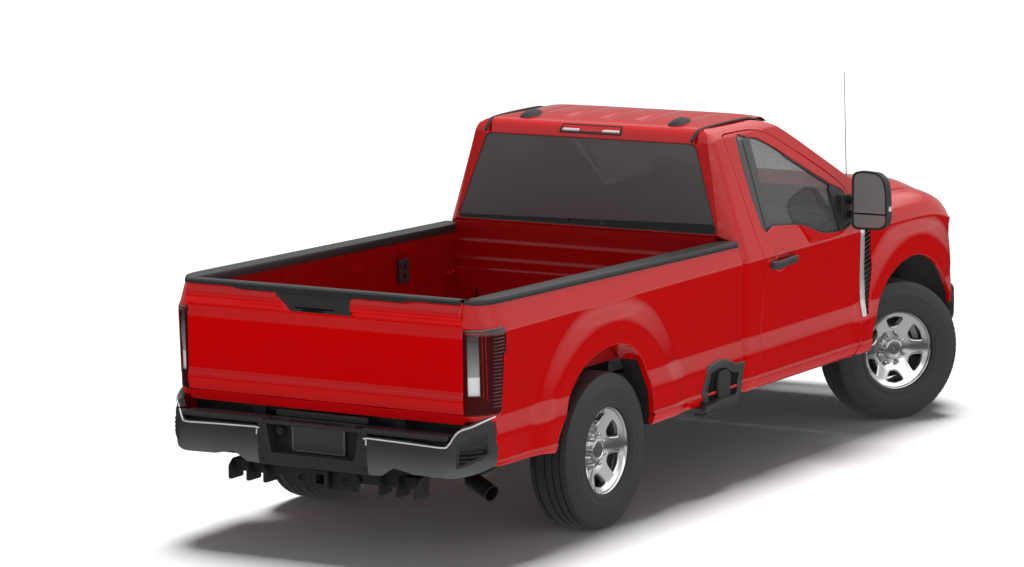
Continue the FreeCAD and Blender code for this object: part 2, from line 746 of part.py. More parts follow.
def build_tailgate():
    """Tailgate with its top cap and handle plate."""
    front_x = S.tailgate_rear_x + S.tailgate_thickness
    panel = block("tailgate_panel", S.tailgate_rear_x, front_x, -S.tailgate_half_width + 3,
                  S.tailgate_half_width - 3, S.tailgate_bottom_z, S.tailgate_top_z)
    pocket = block("handle_pocket", S.tailgate_rear_x - 10, S.tailgate_rear_x + 25,
                   -S.tailgate_handle_width / 2, S.tailgate_handle_width / 2,
                   S.tailgate_top_z - S.tailgate_handle_height, S.tailgate_top_z)
    pins = rod("tailgate_pins", "Y", 12, (S.bed_inner_half_width - S.running_gap) * 2,
               S.tailgate_rear_x + 39, S.running_gap - S.bed_inner_half_width,
               S.tailgate_bottom_z + 18)
    node(fuse("tailgate_body", cut("tailgate_skin", panel, pocket), pins), "tailgate")
    cap = block("tailgate_cap_strip", S.tailgate_rear_x, front_x, -S.tailgate_half_width + 3,
                S.tailgate_half_width - 3, S.tailgate_top_z,
                S.tailgate_top_z + S.tailgate_cap_height)
    plate = block("tailgate_handle_plate", S.tailgate_rear_x + 8, S.tailgate_rear_x + 25,
                  -S.tailgate_handle_width / 2, S.tailgate_handle_width / 2,
                  S.tailgate_top_z - S.tailgate_handle_height, S.tailgate_top_z)
    node(fuse("tailgate_cap_body", cap, plate), "tailgate_cap")


def build_rear_bumper():
    """Step bumper with its plate recess, and the receiver below it."""
    inner_x = S.bumper_rear_x + S.bumper_thickness
    bar = prism("bumper_bar", "XY", [
        (S.bumper_rear_x, -780), (S.bumper_rear_x + 90, -S.bumper_half_width),
        (S.tailgate_rear_x + 130, -S.bumper_half_width), (S.tailgate_rear_x + 130, -930),
        (inner_x + 60, -900), (inner_x, -760), (inner_x, 760), (inner_x + 60, 900),
        (S.tailgate_rear_x + 130, 930), (S.tailgate_rear_x + 130, S.bumper_half_width),
        (S.bumper_rear_x + 90, S.bumper_half_width), (S.bumper_rear_x, 780)],
        S.bumper_bottom_z, S.bumper_top_z)
    shelf = block("bumper_shelf", inner_x, S.tailgate_rear_x + 40, -760, 760,
                  S.bumper_top_z - 50, S.bumper_top_z - 20)
    recess = block("plate_recess", S.bumper_rear_x - 5, S.bumper_rear_x + 30,
                   -S.plate_recess_half_width, S.plate_recess_half_width,
                   S.bumper_bottom_z + 20, S.bumper_top_z - 60)
    irons = [block(f"rear_bumper_iron_{index}", inner_x - 10, S.rail_rear_x, low,
                   low + S.rail_width, S.bumper_top_z - 112, S.bumper_top_z - 32)
             for index, low in enumerate((S.rail_inner_half_width,
                                          -S.rail_inner_half_width - S.rail_width))]
    body = cut("rear_bumper_body", fuse("rear_bumper_solid", bar, shelf, *irons), recess)
    node(body, "rear_bumper")
    pads = [block(f"bumper_pad_{side}", inner_x, S.tailgate_rear_x + 30, low, high,
                  S.bumper_top_z - 20, S.bumper_top_z - 8)
            for side, low, high in (("left", 240, 700), ("right", -700, -240))]
    pair = document.addObject("Part::Compound", "bumper_pads_pair")
    pair.Links = pads
    node(pair, "bumper_pads")
    half = S.receiver_outer / 2
    tube = block("receiver_tube", S.receiver_rear_x, S.receiver_rear_x + S.receiver_length,
                 -half, half, S.receiver_z - half, S.receiver_z + half)
    hole = block("receiver_hole", S.receiver_rear_x - 1, S.receiver_rear_x + S.receiver_length + 1,
                 -S.receiver_inner / 2, S.receiver_inner / 2,
                 S.receiver_z - S.receiver_inner / 2, S.receiver_z + S.receiver_inner / 2)
    cross = block("hitch_cross", S.receiver_rear_x + 60, S.receiver_rear_x + 130,
                  -S.rail_inner_half_width - S.rail_width, S.rail_inner_half_width + S.rail_width,
                  S.receiver_z + half, S.receiver_z + half + 60)
    hangers = [block(f"hitch_hanger_{index}", S.receiver_rear_x + 60, S.receiver_rear_x + 200,
                     low, low + 20, S.receiver_z + half, S.rail_rear_z)
               for index, low in enumerate((400, -420))]
    pin_hole = rod("receiver_pin_hole", "Y", S.receiver_pin_radius, S.receiver_outer * 2,
                   S.receiver_rear_x + 30, -S.receiver_outer, S.receiver_z)
    hitch = cut("hitch_body", fuse("hitch_solid", tube, cross, *hangers), hole, pin_hole)
    node(hitch, "hitch")


def build_chassis():
    """Ladder frame, engine, driveline, axles, springs, exhaust, tank and spare wheel."""
    rise = S.rail_height
    path = [
        (S.rail_rear_x, S.rail_rear_z), (-1250, S.rail_rear_z), (-950, S.rail_mid_z),
        (1250, S.rail_mid_z), (1600, S.rail_front_z), (S.rail_nose_x, S.rail_front_z),
        (S.rail_nose_x, S.rail_front_z + rise), (1570, S.rail_front_z + rise),
        (1220, S.rail_mid_z + rise), (-920, S.rail_mid_z + rise),
        (-1220, S.rail_rear_z + rise), (S.rail_rear_x, S.rail_rear_z + rise)]
    rail = prism("rail", "XZ", path, S.rail_inner_half_width,
                 S.rail_inner_half_width + S.rail_width)
    members = []
    for index, (x, z) in enumerate((
            (-2750, S.rail_rear_z), (-2230, S.rail_rear_z), (-1350, S.rail_rear_z),
            (-820, S.rail_mid_z), (300, S.rail_mid_z), (2560, S.rail_front_z))):
        members.append(block(f"cross_member_{index}", x, x + 70, -S.rail_inner_half_width,
                             S.rail_inner_half_width, z + 70, z + rise - 10))
    saddle = fuse("gearbox_saddle",
                  block("saddle_bar", 1100, 1170, -S.rail_inner_half_width,
                        S.rail_inner_half_width, 485, 505),
                  block("saddle_ear_left", 1100, 1170, 380, S.rail_inner_half_width, 485, 560),
                  block("saddle_ear_right", 1100, 1170, -S.rail_inner_half_width, -380, 485, 560))
    pucks = [rod(f"cab_mount_{index}", "Z", 36, S.floor_top_z - S.floor_thickness - S.rail_mid_z
                 - rise, x, side * 437.5, S.rail_mid_z + rise)
             for index, (x, side) in enumerate(((0, 1), (0, -1), (1150, 1), (1150, -1)))]
    node(fuse("frame_rails", rail, mirror("rail_right", rail), saddle, *members,
              *pucks), "frame_rails")
    engine = block("engine_core", 1700, 2420, -300, 300, 600, 1130)
    feet = block("engine_feet", 1950, 2050, -S.rail_inner_half_width, S.rail_inner_half_width,
                 620, 680)
    node(fuse("engine_block", engine, feet), "engine_block")
    gearbox = rod("gearbox", "X", 85, 760, 940, 0, 590)
    box = block("transfer_case", 720, 940, -120, 230, 390, 560)
    shaft = rod("rear_shaft", "X", S.shaft_radius, 2030, -1310, 0, 440)
    front_shaft = rod("front_shaft", "X", 30, 880, 940, 175, 440)
    node(fuse("driveline", gearbox, box, shaft, front_shaft), "driveline")
    tube = rod("front_axle_tube", "Y", S.axle_tube_radius, 1400, S.front_axle_x, -700,
               S.axle_height)
    pumpkin = rod("front_differential", "Y", 125, 170, S.front_axle_x, 90, S.axle_height)
    nose = rod("front_pinion", "X", 60, 194, 1820, 175, 440)
    yoke = fuse("yoke",
                block("yoke_web", S.front_axle_x - 40, S.front_axle_x + 40, 690, 712, 285, 558),
                block("yoke_top", S.front_axle_x - 40, S.front_axle_x + 40, 700, 800, 530, 558),
                block("yoke_bottom", S.front_axle_x - 40, S.front_axle_x + 40, 700, 800, 285, 313))
    node(fuse("front_axle", tube, pumpkin, nose, yoke, mirror("yoke_right", yoke)), "front_axle")
    tube = rod("rear_axle_tube", "Y", S.axle_tube_radius + 10, 1560, S.rear_axle_x, -780,
               S.axle_height)
    pumpkin = rod("rear_differential", "Y", 150, 260, S.rear_axle_x, -130, S.axle_height)
    nose = rod("rear_pinion", "X", 70, 273, S.rear_axle_x, 0, 440)
    node(fuse("rear_axle", tube, pumpkin, nose), "rear_axle")
    build_springs()
    pipe = rod("exhaust_front", "X", S.pipe_radius, 2090, -350, -270, 440)
    muffler = rod("muffler", "X", 80, 700, -340, -270, 440)
    down = rod("exhaust_down", "Z", S.pipe_radius, 160, 1740, -270, 440)
    hook = rod("exhaust_hook", "Z", 6, 55, 335, -270, 515)
    node(fuse("exhaust", pipe, muffler, down, hook), "exhaust")
    node(block("tank", -740, 240, 90, S.rail_inner_half_width, 380, 600), "fuel_tank")
    spare = rod("spare_tyre", "Z", S.spare_radius, 230, S.spare_x, 0, 400)
    winch = rod("spare_winch", "Z", 30, 100, S.spare_x, 0, 620)
    node(fuse("spare_wheel", spare, winch), "spare_wheel")


def build_springs():
    """Rear leaf packs with their hangers, front coils, seated on axles and rails."""
    outer = S.rail_inner_half_width + S.rail_width
    leaf = prism("leaf_pack", "XZ", [
        (-2250, 640), (S.rear_axle_x, 476.5, 9000, 1), (-900, 580), (-900, 610),
        (S.rear_axle_x, 516, 9000, -1), (-2250, 670)], outer + 15, outer + 80)
    front = block("leaf_front_hanger", -960, -880, outer, outer + 80, 560, 620)
    rear = block("leaf_rear_hanger", -2270, -2210, outer, outer + 80, 640, 700)
    pack = cut("leaf_fitted", fuse("leaf_assembly", leaf, front, rear), NODES["rear_axle"])
    coil = rod("front_coil", "Z", 60, S.rail_front_z + 110 - 463, S.front_axle_x, 550, 463)
    seat = block("coil_seat", S.front_axle_x - 70, S.front_axle_x + 70, outer, 620,
                 S.rail_front_z + 110, S.rail_front_z + 130)
    tower = cut("coil_fitted", fuse("coil_assembly", coil, seat), NODES["front_axle"])
    pair = document.addObject("Part::Compound", "suspension_set")
    pair.Links = [pack, mirror("leaf_right", pack), tower, mirror("tower_right", tower)]
    node(pair, "suspension")


def build_interior():
    """Bench seat, dashboard and steering wheel, seen through the glass."""
    dash = prism("dashboard_body", "XZ", [
        (1332, 900), (1332, 1330), (1180, 1345), (1110, 1290), (1130, 1080), (1250, 900)],
        -840, 840)
    node(dash, "dashboard")
    seat = prism("seat_body", "XZ", [
        (40, 720), (560, 720), (600, 1000), (180, 985), (90, 1560), (-20, 1560), (30, 985)],
        -700, 700)
    node(seat, "bench_seat")
    wheel = document.addObject("Part::Torus", "steering_ring")
    wheel.Radius1 = 185
    wheel.Radius2 = 15
    place(wheel, 930, 370, 1250, Rotation(Vector(0, 1, 0), 65))
    spokes = place(document.addObject("Part::Box", "steering_spokes"), 930, 370, 1250,
                   Rotation(Vector(0, 1, 0), 65))
    spokes.Length, spokes.Width, spokes.Height = 60, 370, 12
    column = document.addObject("Part::Cylinder", "steering_column")
    column.Radius = 32
    column.Height = 260
    place(column, 930, 370, 1250, Rotation(Vector(0, 1, 0), 115))
    bar = block("steering_bar", 915, 945, 190, 550, 1235, 1265)
    ring = cut("steering_wheel_body", fuse("steering_parts", wheel, bar, column),
               NODES["dashboard"])
    node(ring, "steering_wheel")


def build_fittings():
    """Roof lamp, roof pods, aerial, wing vents, bed steps and arch liners."""
    lamp = cut("roof_lamp_body", block("roof_lamp_bar", S.roof_rear_x - 40, S.roof_rear_x + 15,
                                       -190, 190, 1925, 1975), NODES["cab_shell"])
    node(lamp, "roof_lamp")
    pod = cut("roof_pod", block("roof_pod_bar", 0, 190, 430, 520, 1960, 2030), NODES["cab_shell"])
    both_sides("roof_pods", pod)
    mast = fuse("aerial_mast", rod("aerial_foot", "Z", 14, 70, 1590, -864, 1290),
                rod("aerial_whip", "Z", 3, 790, 1590, -864, 1350))
    node(cut("aerial_body", mast, NODES["wing_right"]), "aerial")
    vent = block("wing_vent", S.door_front_x + S.door_front_gap + 8,
                 S.door_front_x + S.door_front_gap + 130, S.shoulder_half_width - 20,
                 S.body_half_width + 10, 800, 1240)
    vent = cut("wing_vent_fitted", vent, NODES["wing_left"])
    both_sides("wing_vents", vent)
    step = prism("bed_step_body", "XZ", [
        (-600, 590), (-560, 690), (-400, 722), (-160, 668), (-190, 520), (-220, 430),
        (-380, 430), (-600, 480)], S.sill_half_width, S.body_half_width + 30)
    step = cut("bed_step_fitted", step, NODES["bed_side_left"])
    both_sides("bed_steps", step)


def wheel_tyre(name, x, y, z, turn=None):
    """A tyre with flat tread, shoulders and sidewalls, open to its rim."""
    half, radius, seat = S.tyre_width / 2, S.tyre_radius, S.rim_lip_radius
    return revolve(name, [
        (-half + 30, seat), (half - 30, seat), (half - 12, seat + 25), (half, seat + 80),
        (half - 4, radius - 45), (half - 28, radius - 6), (half - 50, radius),
        (-half + 50, radius), (-half + 28, radius - 6), (-half + 4, radius - 45),
        (-half, seat + 80), (-half + 12, seat + 25)], x, y, z, turn)


def wheel_rim(name, x, y, z, outward, reach, turn=None):
    """A wheel: barrel, dished disc, hub; outward is 1 on the left and -1 on the right."""
    sign = outward
    seat = S.rim_lip_radius
    path = [
        (-100 * sign, seat - 14), (-100 * sign, seat - 0.3), (107 * sign, seat - 0.3),
        (112 * sign, seat - 14), (90 * sign, seat - 30), (60 * sign, 120),
        (72 * sign, 90), (72 * sign, 0), (-reach * sign, 0), (-reach * sign, S.hub_radius),
        (-42 * sign, S.hub_radius), (-42 * sign, S.disc_radius), (-14 * sign, S.disc_radius),
        (-14 * sign, S.hub_radius), (20 * sign, 90), (35 * sign, 130),
        (60 * sign, seat - 40), (50 * sign, seat - 14)]
    body = revolve(name, path, x, y, z, turn)
    drill_pattern(body, name, Size(158), 32, 0, 300, S.window_count)
    return body


STEER_POSE = -31.0


def build_wheels():
    """Four wheels with tyres, and the two steering knuckles."""
    for side, sign in (("left", 1), ("right", -1)):
        kingpin = S.kingpin_y * sign
        turn = Rotation(Vector(0, 0, 1), STEER_POSE)
        offset = turn.multVec(Vector(0, (S.front_wheel_y.value - S.kingpin_y.value) * sign, 0))
        x, y = S.front_axle_x + offset.x, kingpin + offset.y
        node(wheel_tyre(f"front_{side}_tyre_body", x, y, S.axle_height, turn),
             f"tyre_front_{side}")
        node(wheel_rim(f"front_{side}_rim_body", x, y, S.axle_height, sign, S.front_hub_reach,
                       turn),
             f"wheel_front_{side}")
        knuckle = document.addObject("Part::Cylinder", f"knuckle_{side}_barrel")
        knuckle.Radius = 42
        knuckle.Height = 216
        place(knuckle, S.front_axle_x, kingpin, 313.5)
        spindle = document.addObject("Part::Cylinder", f"knuckle_{side}_spindle")
        spindle.Radius = 38
        bind(spindle, "Height", S.front_wheel_y - S.kingpin_y - S.front_hub_reach - S.running_gap)
        spindle_turn = turn.multiply(AXIS_TURN["Y"]) if sign > 0 else turn.multiply(
            Rotation(Vector(1, 0, 0), 90))
        place(spindle, S.front_axle_x, kingpin, S.axle_height, spindle_turn)
        node(fuse(f"knuckle_{side}_body", knuckle, spindle), f"knuckle_{side}")
        node(wheel_tyre(f"rear_{side}_tyre_body", S.rear_axle_x, S.rear_wheel_y * sign,
                        S.axle_height), f"tyre_rear_{side}")
        node(wheel_rim(f"rear_{side}_rim_body", S.rear_axle_x, S.rear_wheel_y * sign,
                       S.axle_height, sign, S.rear_hub_reach), f"wheel_rear_{side}")


def check_and_write():
    """Stops on any failed object, then writes one file per sub-part."""
    document.recompute()
    for item in document.Objects:
        if "Invalid" in item.State or "Error" in item.State:
            raise RuntimeError(f"{item.Name} failed: {item.State}")
    for name, item in NODES.items():
        if item.Shape.isNull() or not item.Shape.isValid() or not item.Shape.Solids:
            raise RuntimeError(f"{name} has no valid solid")
    os.makedirs("parts", exist_ok=True)
    for name, item in NODES.items():
        item.Shape.exportStep(f"parts/{name}.step")
        print(name, len(item.Shape.Solids), round(item.Shape.Volume / 1e6, 2))


build_cab()
build_doors()
build_mirrors()
build_front()
build_bed()
build_tailgate()
build_rear_bumper()
build_chassis()
build_interior()
build_fittings()
build_wheels()
check_and_write()
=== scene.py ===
"""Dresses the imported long-bed pickup truck and sets it in a plain pale studio."""

import logging
import math
from dataclasses import dataclass, field
from enum import Enum
from typing import Callable, Iterable, Sequence

import bmesh
import bpy
import numpy as np
from mathutils import Matrix, Vector
from mathutils.geometry import delaunay_2d_cdt


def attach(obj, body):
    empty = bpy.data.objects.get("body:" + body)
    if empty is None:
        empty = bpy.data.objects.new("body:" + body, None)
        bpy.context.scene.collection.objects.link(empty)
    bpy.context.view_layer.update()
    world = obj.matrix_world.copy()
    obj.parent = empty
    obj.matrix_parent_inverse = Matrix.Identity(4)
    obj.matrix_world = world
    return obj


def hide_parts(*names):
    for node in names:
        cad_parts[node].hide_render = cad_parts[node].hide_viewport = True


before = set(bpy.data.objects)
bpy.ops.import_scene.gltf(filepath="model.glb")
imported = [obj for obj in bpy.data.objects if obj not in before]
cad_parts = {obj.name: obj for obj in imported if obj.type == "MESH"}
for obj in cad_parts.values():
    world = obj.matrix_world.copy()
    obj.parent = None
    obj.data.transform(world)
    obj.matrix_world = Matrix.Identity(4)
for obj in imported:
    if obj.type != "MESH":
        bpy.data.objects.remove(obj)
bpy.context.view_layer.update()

LOG = logging.getLogger("pickup_truck")

Pair = tuple[float, float]
Triple = tuple[float, float, float]
Place = Callable[[float, float], Triple]

FORWARD, REARWARD = (1.0, 0.0, 0.0), (-1.0, 0.0, 0.0)
LEFTWARD, RIGHTWARD = (0.0, 1.0, 0.0), (0.0, -1.0, 0.0)
REAR_CORNER = (-1.0, 0.5, 0.0)
TINY = 1e-4


class Side(Enum):
    """The two sides of the truck, as the sign of Y."""

    LEFT = 1
    RIGHT = -1

    @property
    def word(self) -> str:
        """Return the side's name for a piece or body."""
        return self.name.lower()


class Grain(Enum):
    """The small relief of a surface."""

    NONE = "none"
    PEBBLE = "pebble"
    CAST = "cast"
    BRUSHED = "brushed"
    WEAVE = "weave"


GRAIN_NODES = {
    Grain.PEBBLE: ("ShaderNodeTexVoronoi", "Distance", {}),
    Grain.CAST: ("ShaderNodeTexNoise", "Fac", {"Detail": 6.0}),
    Grain.BRUSHED: ("ShaderNodeTexNoise", "Fac", {"Detail": 6.0}),
    Grain.WEAVE: ("ShaderNodeTexWave", "Fac", {"Distortion": 1.0}),
}


def set_up(nodes: bpy.types.Nodes, kind: str, values: dict | None = None) -> bpy.types.Node:
    """Return a new node with some of its sockets set."""
    node = nodes.new(kind)
    for socket, value in (values or {}).items():
        node.inputs[socket].default_value = value
    return node


def level_along(nodes: bpy.types.Nodes, links: bpy.types.NodeLinks, place: bpy.types.NodeSocket,
                axis: str, span: Sequence[float]) -> bpy.types.NodeSocket:
    """Add the nodes that turn one coordinate into a level.

    Args:
        nodes: the material's nodes.
        links: the material's links.
        place: the coordinates.
        axis: the coordinate that counts.
        span: where the change starts and ends, and the level at each.

    Returns:
        The level.
    """
    split = nodes.new("ShaderNodeSeparateXYZ")
    links.new(place, split.inputs["Vector"])
    level = set_up(nodes, "ShaderNodeMapRange",
                   dict(zip(("From Min", "From Max", "To Min", "To Max"), span)))
    links.new(split.outputs[axis], level.inputs["Value"])
    return level.outputs["Result"]


@dataclass(frozen=True)
class Surface:
    """A named look for a slot of the record, made into a material on first use."""

    name: str
    slot: str

    def material(self) -> bpy.types.Material:
        """Return the node material, made on first use."""
        made = bpy.data.materials.get(self.name)
        if made is None:
            made = bpy.data.materials.new(self.name)
            made.use_nodes = True
            self.fill(made.node_tree.nodes, made.node_tree.links)
        return made

    def fill(self, nodes: bpy.types.Nodes, links: bpy.types.NodeLinks) -> None:
        """Add the nodes; each kind of surface has its own."""
        raise NotImplementedError


@dataclass(frozen=True)
class Finish(Surface):
    """An opaque finish: colour, gloss and small relief."""

    colour: Triple
    roughness: float
    metallic: float = 0.0
    coat: float = 0.0
    grain: Grain = Grain.NONE
    grain_size: float = 0.003
    grain_height: float = 0.15
    tone_spread: float = 0.04
    gloss_spread: float = 0.03
    tone_size: float = 0.35
    specular: float = 0.5
    # fade: a painted reflection, the colour scaled by height between two (height, share) points
    fade: tuple[Pair, ...] = ()

    def fill(self, nodes: bpy.types.Nodes, links: bpy.types.NodeLinks) -> None:
        """Add the nodes of a clouded colour and gloss, with any painted reflection (the fade) and
        relief.
        """
        shader = nodes["Principled BSDF"]
        place = nodes.new("ShaderNodeTexCoord").outputs["Object"]
        cloud = set_up(nodes, "ShaderNodeTexNoise",
                       {"Scale": 1.0 / self.tone_size, "Detail": 4.0})
        links.new(place, cloud.inputs["Vector"])
        tones = nodes.new("ShaderNodeValToRGB")
        for stop, position, swing in zip(tones.color_ramp.elements, (0.3, 0.7), (-1, 1)):
            share = 1 + swing * self.tone_spread
            stop.color = (*(min(1.0, part * share) for part in self.colour), 1.0)
            stop.position = position
        links.new(cloud.outputs["Fac"], tones.inputs["Fac"])
        tint = tones.outputs["Color"]
        if self.fade:
            tint = self._faded(nodes, links, place, tint)
        links.new(tint, shader.inputs["Base Color"])
        gloss = set_up(nodes, "ShaderNodeMapRange",
                       {"To Min": max(0.0, self.roughness - self.gloss_spread),
                        "To Max": min(1.0, self.roughness + self.gloss_spread)})
        links.new(cloud.outputs["Fac"], gloss.inputs["Value"])
        links.new(gloss.outputs["Result"], shader.inputs["Roughness"])
        for socket, value in (("Metallic", self.metallic), ("Specular IOR Level", self.specular),
                              ("Coat Weight", self.coat), ("Coat Roughness", 0.02)):
            shader.inputs[socket].default_value = value
        if self.grain is not Grain.NONE:
            links.new(self._relief(nodes, links, place), shader.inputs["Normal"])

    def _faded(self, nodes: bpy.types.Nodes, links: bpy.types.NodeLinks,
               place: bpy.types.NodeSocket, tint: bpy.types.NodeSocket) -> bpy.types.NodeSocket:
        """Return the colour, made lighter or darker with height by the nodes that this adds: a
        painted reflection.
        """
        (low, low_share), (high, high_share) = self.fade
        level = level_along(nodes, links, place, "Z", (low, high, low_share, high_share))
        scaled = nodes.new("ShaderNodeVectorMath")
        scaled.operation = "SCALE"
        links.new(tint, scaled.inputs[0])
        links.new(level, scaled.inputs["Scale"])
        return scaled.outputs["Vector"]

    def _relief(self, nodes: bpy.types.Nodes, links: bpy.types.NodeLinks,
                place: bpy.types.NodeSocket) -> bpy.types.NodeSocket:
        """Return the normal, bumped by the grain that this adds."""
        kind, output, more = GRAIN_NODES[self.grain]
        along = 0.04 if self.grain is Grain.BRUSHED else 1.0
        stretch = set_up(nodes, "ShaderNodeMapping", {"Scale": (along, 1.0, 1.0)})
        links.new(place, stretch.inputs["Vector"])
        relief = set_up(nodes, kind, {"Scale": 1.0 / self.grain_size, **more})
        links.new(stretch.outputs["Vector"], relief.inputs["Vector"])
        bump = set_up(nodes, "ShaderNodeBump",
                      {"Strength": self.grain_height, "Distance": self.grain_size})
        links.new(relief.outputs[output], bump.inputs["Height"])
        return bump.outputs["Normal"]


@dataclass(frozen=True)
class Pane(Surface):
    """A see-through finish: its tint and how much it hides."""

    tint: Triple
    cover: float
    roughness: float = 0.02
    ripple: float = 0.02

    def fill(self, nodes: bpy.types.Nodes, links: bpy.types.NodeLinks) -> None:
        """Add the nodes of a tinted sheet with a slight ripple."""
        shader = nodes["Principled BSDF"]
        place = nodes.new("ShaderNodeTexCoord").outputs["Object"]
        cloud = set_up(nodes, "ShaderNodeTexNoise", {"Scale": 2.0})
        links.new(place, cloud.inputs["Vector"])
        bump = set_up(nodes, "ShaderNodeBump", {"Strength": self.ripple, "Distance": 0.002})
        links.new(cloud.outputs["Fac"], bump.inputs["Height"])
        links.new(bump.outputs["Normal"], shader.inputs["Normal"])
        for socket, value in (("Base Color", (*self.tint, 1.0)), ("Roughness", self.roughness),
                              ("Alpha", self.cover)):
            shader.inputs[socket].default_value = value


PAINT = Finish("gloss_red_paint", "red_paint", (0.61, 0.001, 0.002), 0.45, coat=1.0,
               tone_spread=0.02, specular=0.0)
# The bed's inner red, darker than the body's: painted shade for the walls, floor and tailgate
# inside the bed. The grain and lower gloss are the finish's own.
SHADED_BED_PAINT = Finish("shaded_inner_red_paint", "red_paint", (0.36, 0.002, 0.004), 0.38, coat=0.35,
                   tone_spread=0.05, grain=Grain.CAST, grain_size=0.006, grain_height=0.04,
                   specular=0.2)
BLACK_TRIM = Finish("moulded_black", "black_plastic", (0.022, 0.023, 0.024), 0.55,
                    grain=Grain.PEBBLE, grain_size=0.0022, grain_height=0.25, specular=0.4)
CAP_BLACK = Finish("rail_cap_black", "black_plastic", (0.018, 0.019, 0.02), 0.38,
                   grain=Grain.PEBBLE, grain_size=0.0026, grain_height=0.2)
GLOSS_BLACK = Finish("gloss_black", "black_plastic", (0.008, 0.008, 0.009), 0.08)
# Charcoal bumper ends. The fade paints a reflection of the pale floor: lighter towards the bottom,
# darker towards the top.
BUMPER_GREY = Finish("bumper_charcoal", "bumper_paint", (0.052, 0.054, 0.057), 0.32,
                     metallic=0.3, coat=0.3, tone_spread=0.08, fade=((0.50, 2.6), (0.66, 0.55)))
CHASSIS = Finish("chassis_black", "black_chassis", (0.012, 0.012, 0.013), 0.5,
                 grain=Grain.CAST, grain_size=0.01, grain_height=0.2, tone_spread=0.2)
CASTING = Finish("cast_parts_dark", "cast_parts", (0.03, 0.03, 0.031), 0.62, metallic=0.5,
                 grain=Grain.CAST, grain_size=0.006, grain_height=0.4, tone_spread=0.2)
DULL_STEEL = Finish("exhaust_dull_steel", "exhaust_steel", (0.06, 0.058, 0.055), 0.42,
                    metallic=0.9, grain=Grain.BRUSHED, grain_size=0.004, tone_spread=0.25)
CHROME = Finish("bright_chrome", "chrome_trim", (0.78, 0.78, 0.79), 0.16, metallic=0.55,
                coat=0.5, tone_spread=0.01, gloss_spread=0.01)
WHEEL_CHROME = Finish("wheel_chrome", "chrome_wheel", (0.58, 0.58, 0.59), 0.12, metallic=0.90,
                      coat=0.4, tone_spread=0.03)
RUBBER = Finish("tyre_rubber_black", "tyre_rubber", (0.028, 0.028, 0.029), 0.62,
                grain=Grain.CAST, grain_size=0.004, tone_spread=0.1)
CLOTH = Finish("seat_cloth_dark", "seat_cloth", (0.05, 0.05, 0.055), 0.9,
               grain=Grain.WEAVE, grain_size=0.002, grain_height=0.4)
SMOKED_RED = Finish("smoked_red_lens", "red_lens", (0.055, 0.002, 0.003), 0.06, coat=1.0,
                    tone_spread=0.15)
BRIGHT_RED = Finish("bright_red_lens", "red_lens", (0.5, 0.01, 0.01), 0.1, coat=1.0)
SATIN_BLACK = Finish("satin_black", "black_plastic", (0.045, 0.047, 0.050), 0.34, coat=0.15)
TRIM_GREY = Finish("cab_trim_grey", "black_plastic", (0.055, 0.056, 0.058), 0.7,
                   grain=Grain.PEBBLE, grain_size=0.003, grain_height=0.2)
PLATE_GREY = Finish("plate_border_grey", "black_plastic", (0.10, 0.10, 0.105), 0.45)
WHITE_LENS = Finish("clear_white_lens", "clear_lens", (0.85, 0.86, 0.88), 0.12, coat=1.0)
# The fade paints the reflector's reflection into its colour: lighter at the strip's foot, darker
# towards its top.
REFLECTOR = Finish("lamp_reflector", "clear_lens", (0.30, 0.30, 0.31), 0.22, metallic=0.4,
                   coat=0.6, fade=((1.02, 1.5), (1.19, 0.18)))
MIRROR_GLASS = Finish("mirror_silver", "chrome_trim", (0.24, 0.245, 0.25), 0.05, coat=0.5)
DARK_GLASS = Pane("privacy_glass", "dark_glass", (0.105, 0.107, 0.108), 0.985)
DOOR_GLASS = Pane("door_glass_tint", "clear_glass", (0.10, 0.102, 0.103), 0.80)
FRONT_GLASS = Pane("windscreen_tint", "clear_glass", (0.04, 0.045, 0.043), 0.45)


@dataclass
class Shell:
    """Points and faces of a mesh under construction, in metres."""

    points: list[Triple] = field(default_factory=list)
    faces: list[tuple[int, ...]] = field(default_factory=list)

    def add(self, other: "Shell") -> "Shell":
        """Append another shell and return this one."""
        start = len(self.points)
        self.points.extend(other.points)
        self.faces.extend(tuple(start + i for i in face) for face in other.faces)
        return self

    def moved(self, matrix: Matrix) -> "Shell":
        """Return the shell moved by a matrix, faces turned over if it mirrors."""
        points = [tuple(matrix @ Vector(point)) for point in self.points]
        if matrix.determinant() < 0:
            return Shell(points, [face[::-1] for face in self.faces])
        return Shell(points, list(self.faces))

    def on(self, side: Side) -> "Shell":
        """Return a shell drawn for the left, on the given side."""
        return self.moved(Matrix.Diagonal((1.0, float(side.value), 1.0, 1.0)))

    def both(self) -> "Shell":
        """Return the shell and its mirror image as one."""
        return Shell(list(self.points), list(self.faces)).add(self.on(Side.RIGHT))


def clamp(share: float) -> float:
    """Return a share kept between nought and one."""
    return min(1.0, max(0.0, share))


def ramp(distance: float, soften: float) -> float:
    """Return a ramp that starts at zero, its corner rounded over a half width."""
    if distance <= -soften:
        return 0.0
    if distance >= soften:
        return distance
    return (distance + soften) ** 2 / (4 * soften)


@dataclass(frozen=True)
class CreasedLine:
    """A line through knots (place, value, softness), rounded at each knot."""

    knots: tuple[Triple, ...]

    def at(self, place: float) -> float:
        """Return the value at a place."""
        slopes = [(b[1] - a[1]) / (b[0] - a[0]) for a, b in zip(self.knots, self.knots[1:])]
        value = self.knots[0][1] + slopes[0] * (place - self.knots[0][0])
        for (start, _, soften), before, after in zip(self.knots[1:], slopes, slopes[1:]):
            value += (after - before) * ramp(place - start, soften)
        return value

    def rows(self, low: float, high: float, step: float) -> list[float]:
        """Return places between two limits, close together at each knot.

        Args:
            low: the first place.
            high: the last place.
            step: the widest spacing.

        Returns:
            The sorted places.
        """
        found = list(np.arange(low, high, step)) + [high]
        for place, _, soften in self.knots:
            found += [place + soften * share for share in (-1.2, -0.6, 0.0, 0.6, 1.2)]
        found = sorted(place for place in found if low <= place <= high)
        kept = [found[0]]
        for place in found[1:]:
            if place - kept[-1] > 0.0025:
                kept.append(place)
        return kept


